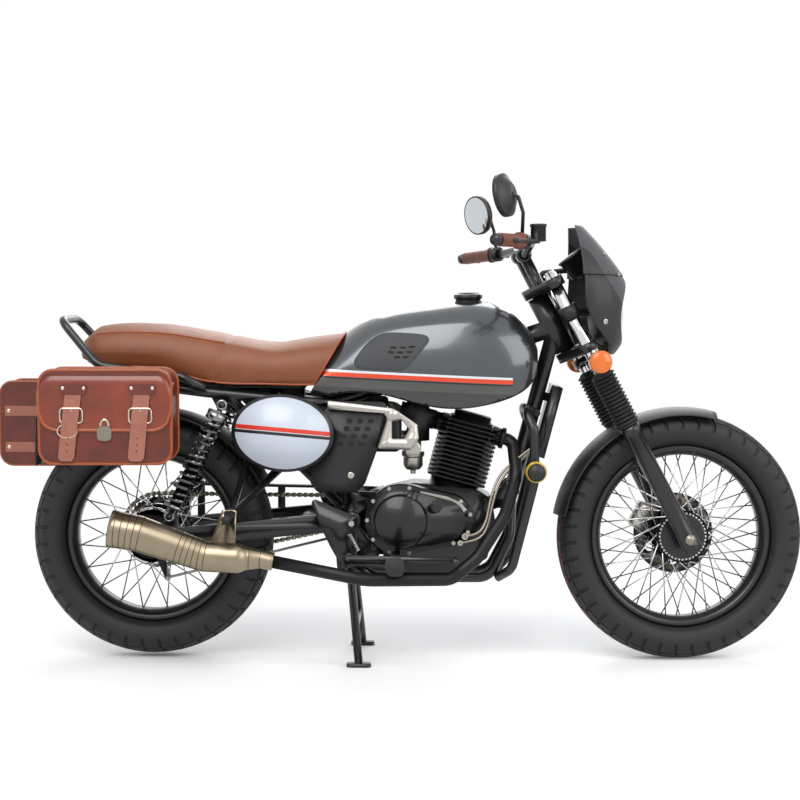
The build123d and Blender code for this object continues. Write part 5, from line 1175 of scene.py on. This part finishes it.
def sees_white(tree):
    """1 for rays from the camera, off a mirror or through glass, 0 for light that falls on things."""
    path = add(tree, "LightPath")
    rays = Value(tree, path.outputs["Is Camera Ray"])
    for kind in ("Is Glossy Ray", "Is Transmission Ray"):
        rays = rays.done("MAXIMUM", Value(tree, path.outputs[kind]))
    return rays


def show_white(tree, plain, white, share, output):
    """Lays white over what a tree shows."""
    mix = add(tree, "MixShader", share.socket)
    tree.links.new(plain.outputs[0], mix.inputs[1])
    tree.links.new(white.outputs[0], mix.inputs[2])
    tree.links.new(mix.outputs[0], tree.nodes[output].inputs["Surface"])


def lights():
    """Three soft lamps and a sky that is lighter above, behind a plain white that only shows."""
    for name, place, size, power in LAMPS:
        lamp = bpy.data.lights.new(name, "AREA")
        lamp.size = size
        lamp.energy = power
        aim(placed(name, lamp), place, LAMPS_AIM - Vector(place))
    world = bpy.data.worlds.new("world")
    SCENE.world = world
    world.use_nodes = True
    tree = world.node_tree
    sky = tree.nodes["Background"]
    fill(sky, Strength=SKY_STRENGTH)
    white = add(tree, "Background")
    fill(white, Color=(1, 1, 1, 1))
    parts = add(tree, "SeparateXYZ", add(tree, "TexCoord").outputs["Generated"])
    height = Value(tree, parts.outputs["Z"]) * 0.5 + 0.5
    ramp = add(tree, "ValToRGB", height.socket)
    for element, (share, colour) in zip(ramp.color_ramp.elements, SKY):
        element.position = share
        element.color = colour
    tree.links.new(ramp.outputs["Color"], sky.inputs["Color"])
    show_white(tree, sky, white, sees_white(tree), "World Output")


def floor():
    """Pale ground that turns pure white away from the motorcycle."""
    mesh = bpy.data.meshes.new("floor")
    corners = [(x * FLOOR_HALF, y * FLOOR_HALF, 0) for x, y in ((-1, -1), (1, -1), (1, 1), (-1, 1))]
    mesh.from_pydata(corners, [], [(0, 1, 2, 3)])
    made = placed("floor", mesh)
    look = material("floor", "#f4f4f4", 0.9, grain=(3, 0.01))
    tree = look.node_tree
    far = add(tree, "VectorMath", add(tree, "TexCoord").outputs["Object"])
    far.operation = "LENGTH"
    fade = add(tree, "MapRange", far.outputs["Value"])
    fill(fade, From_Min=WHITE_FROM, From_Max=WHITE_TO)
    share = Value(tree, fade.outputs["Result"]) * sees_white(tree)
    show_white(tree, tree.nodes["Principled BSDF"], add(tree, "Emission"), share, "Material Output")
    mesh.materials.append(look)


camera()
lights()
floor()
SCENE.view_settings.view_transform = "Standard"
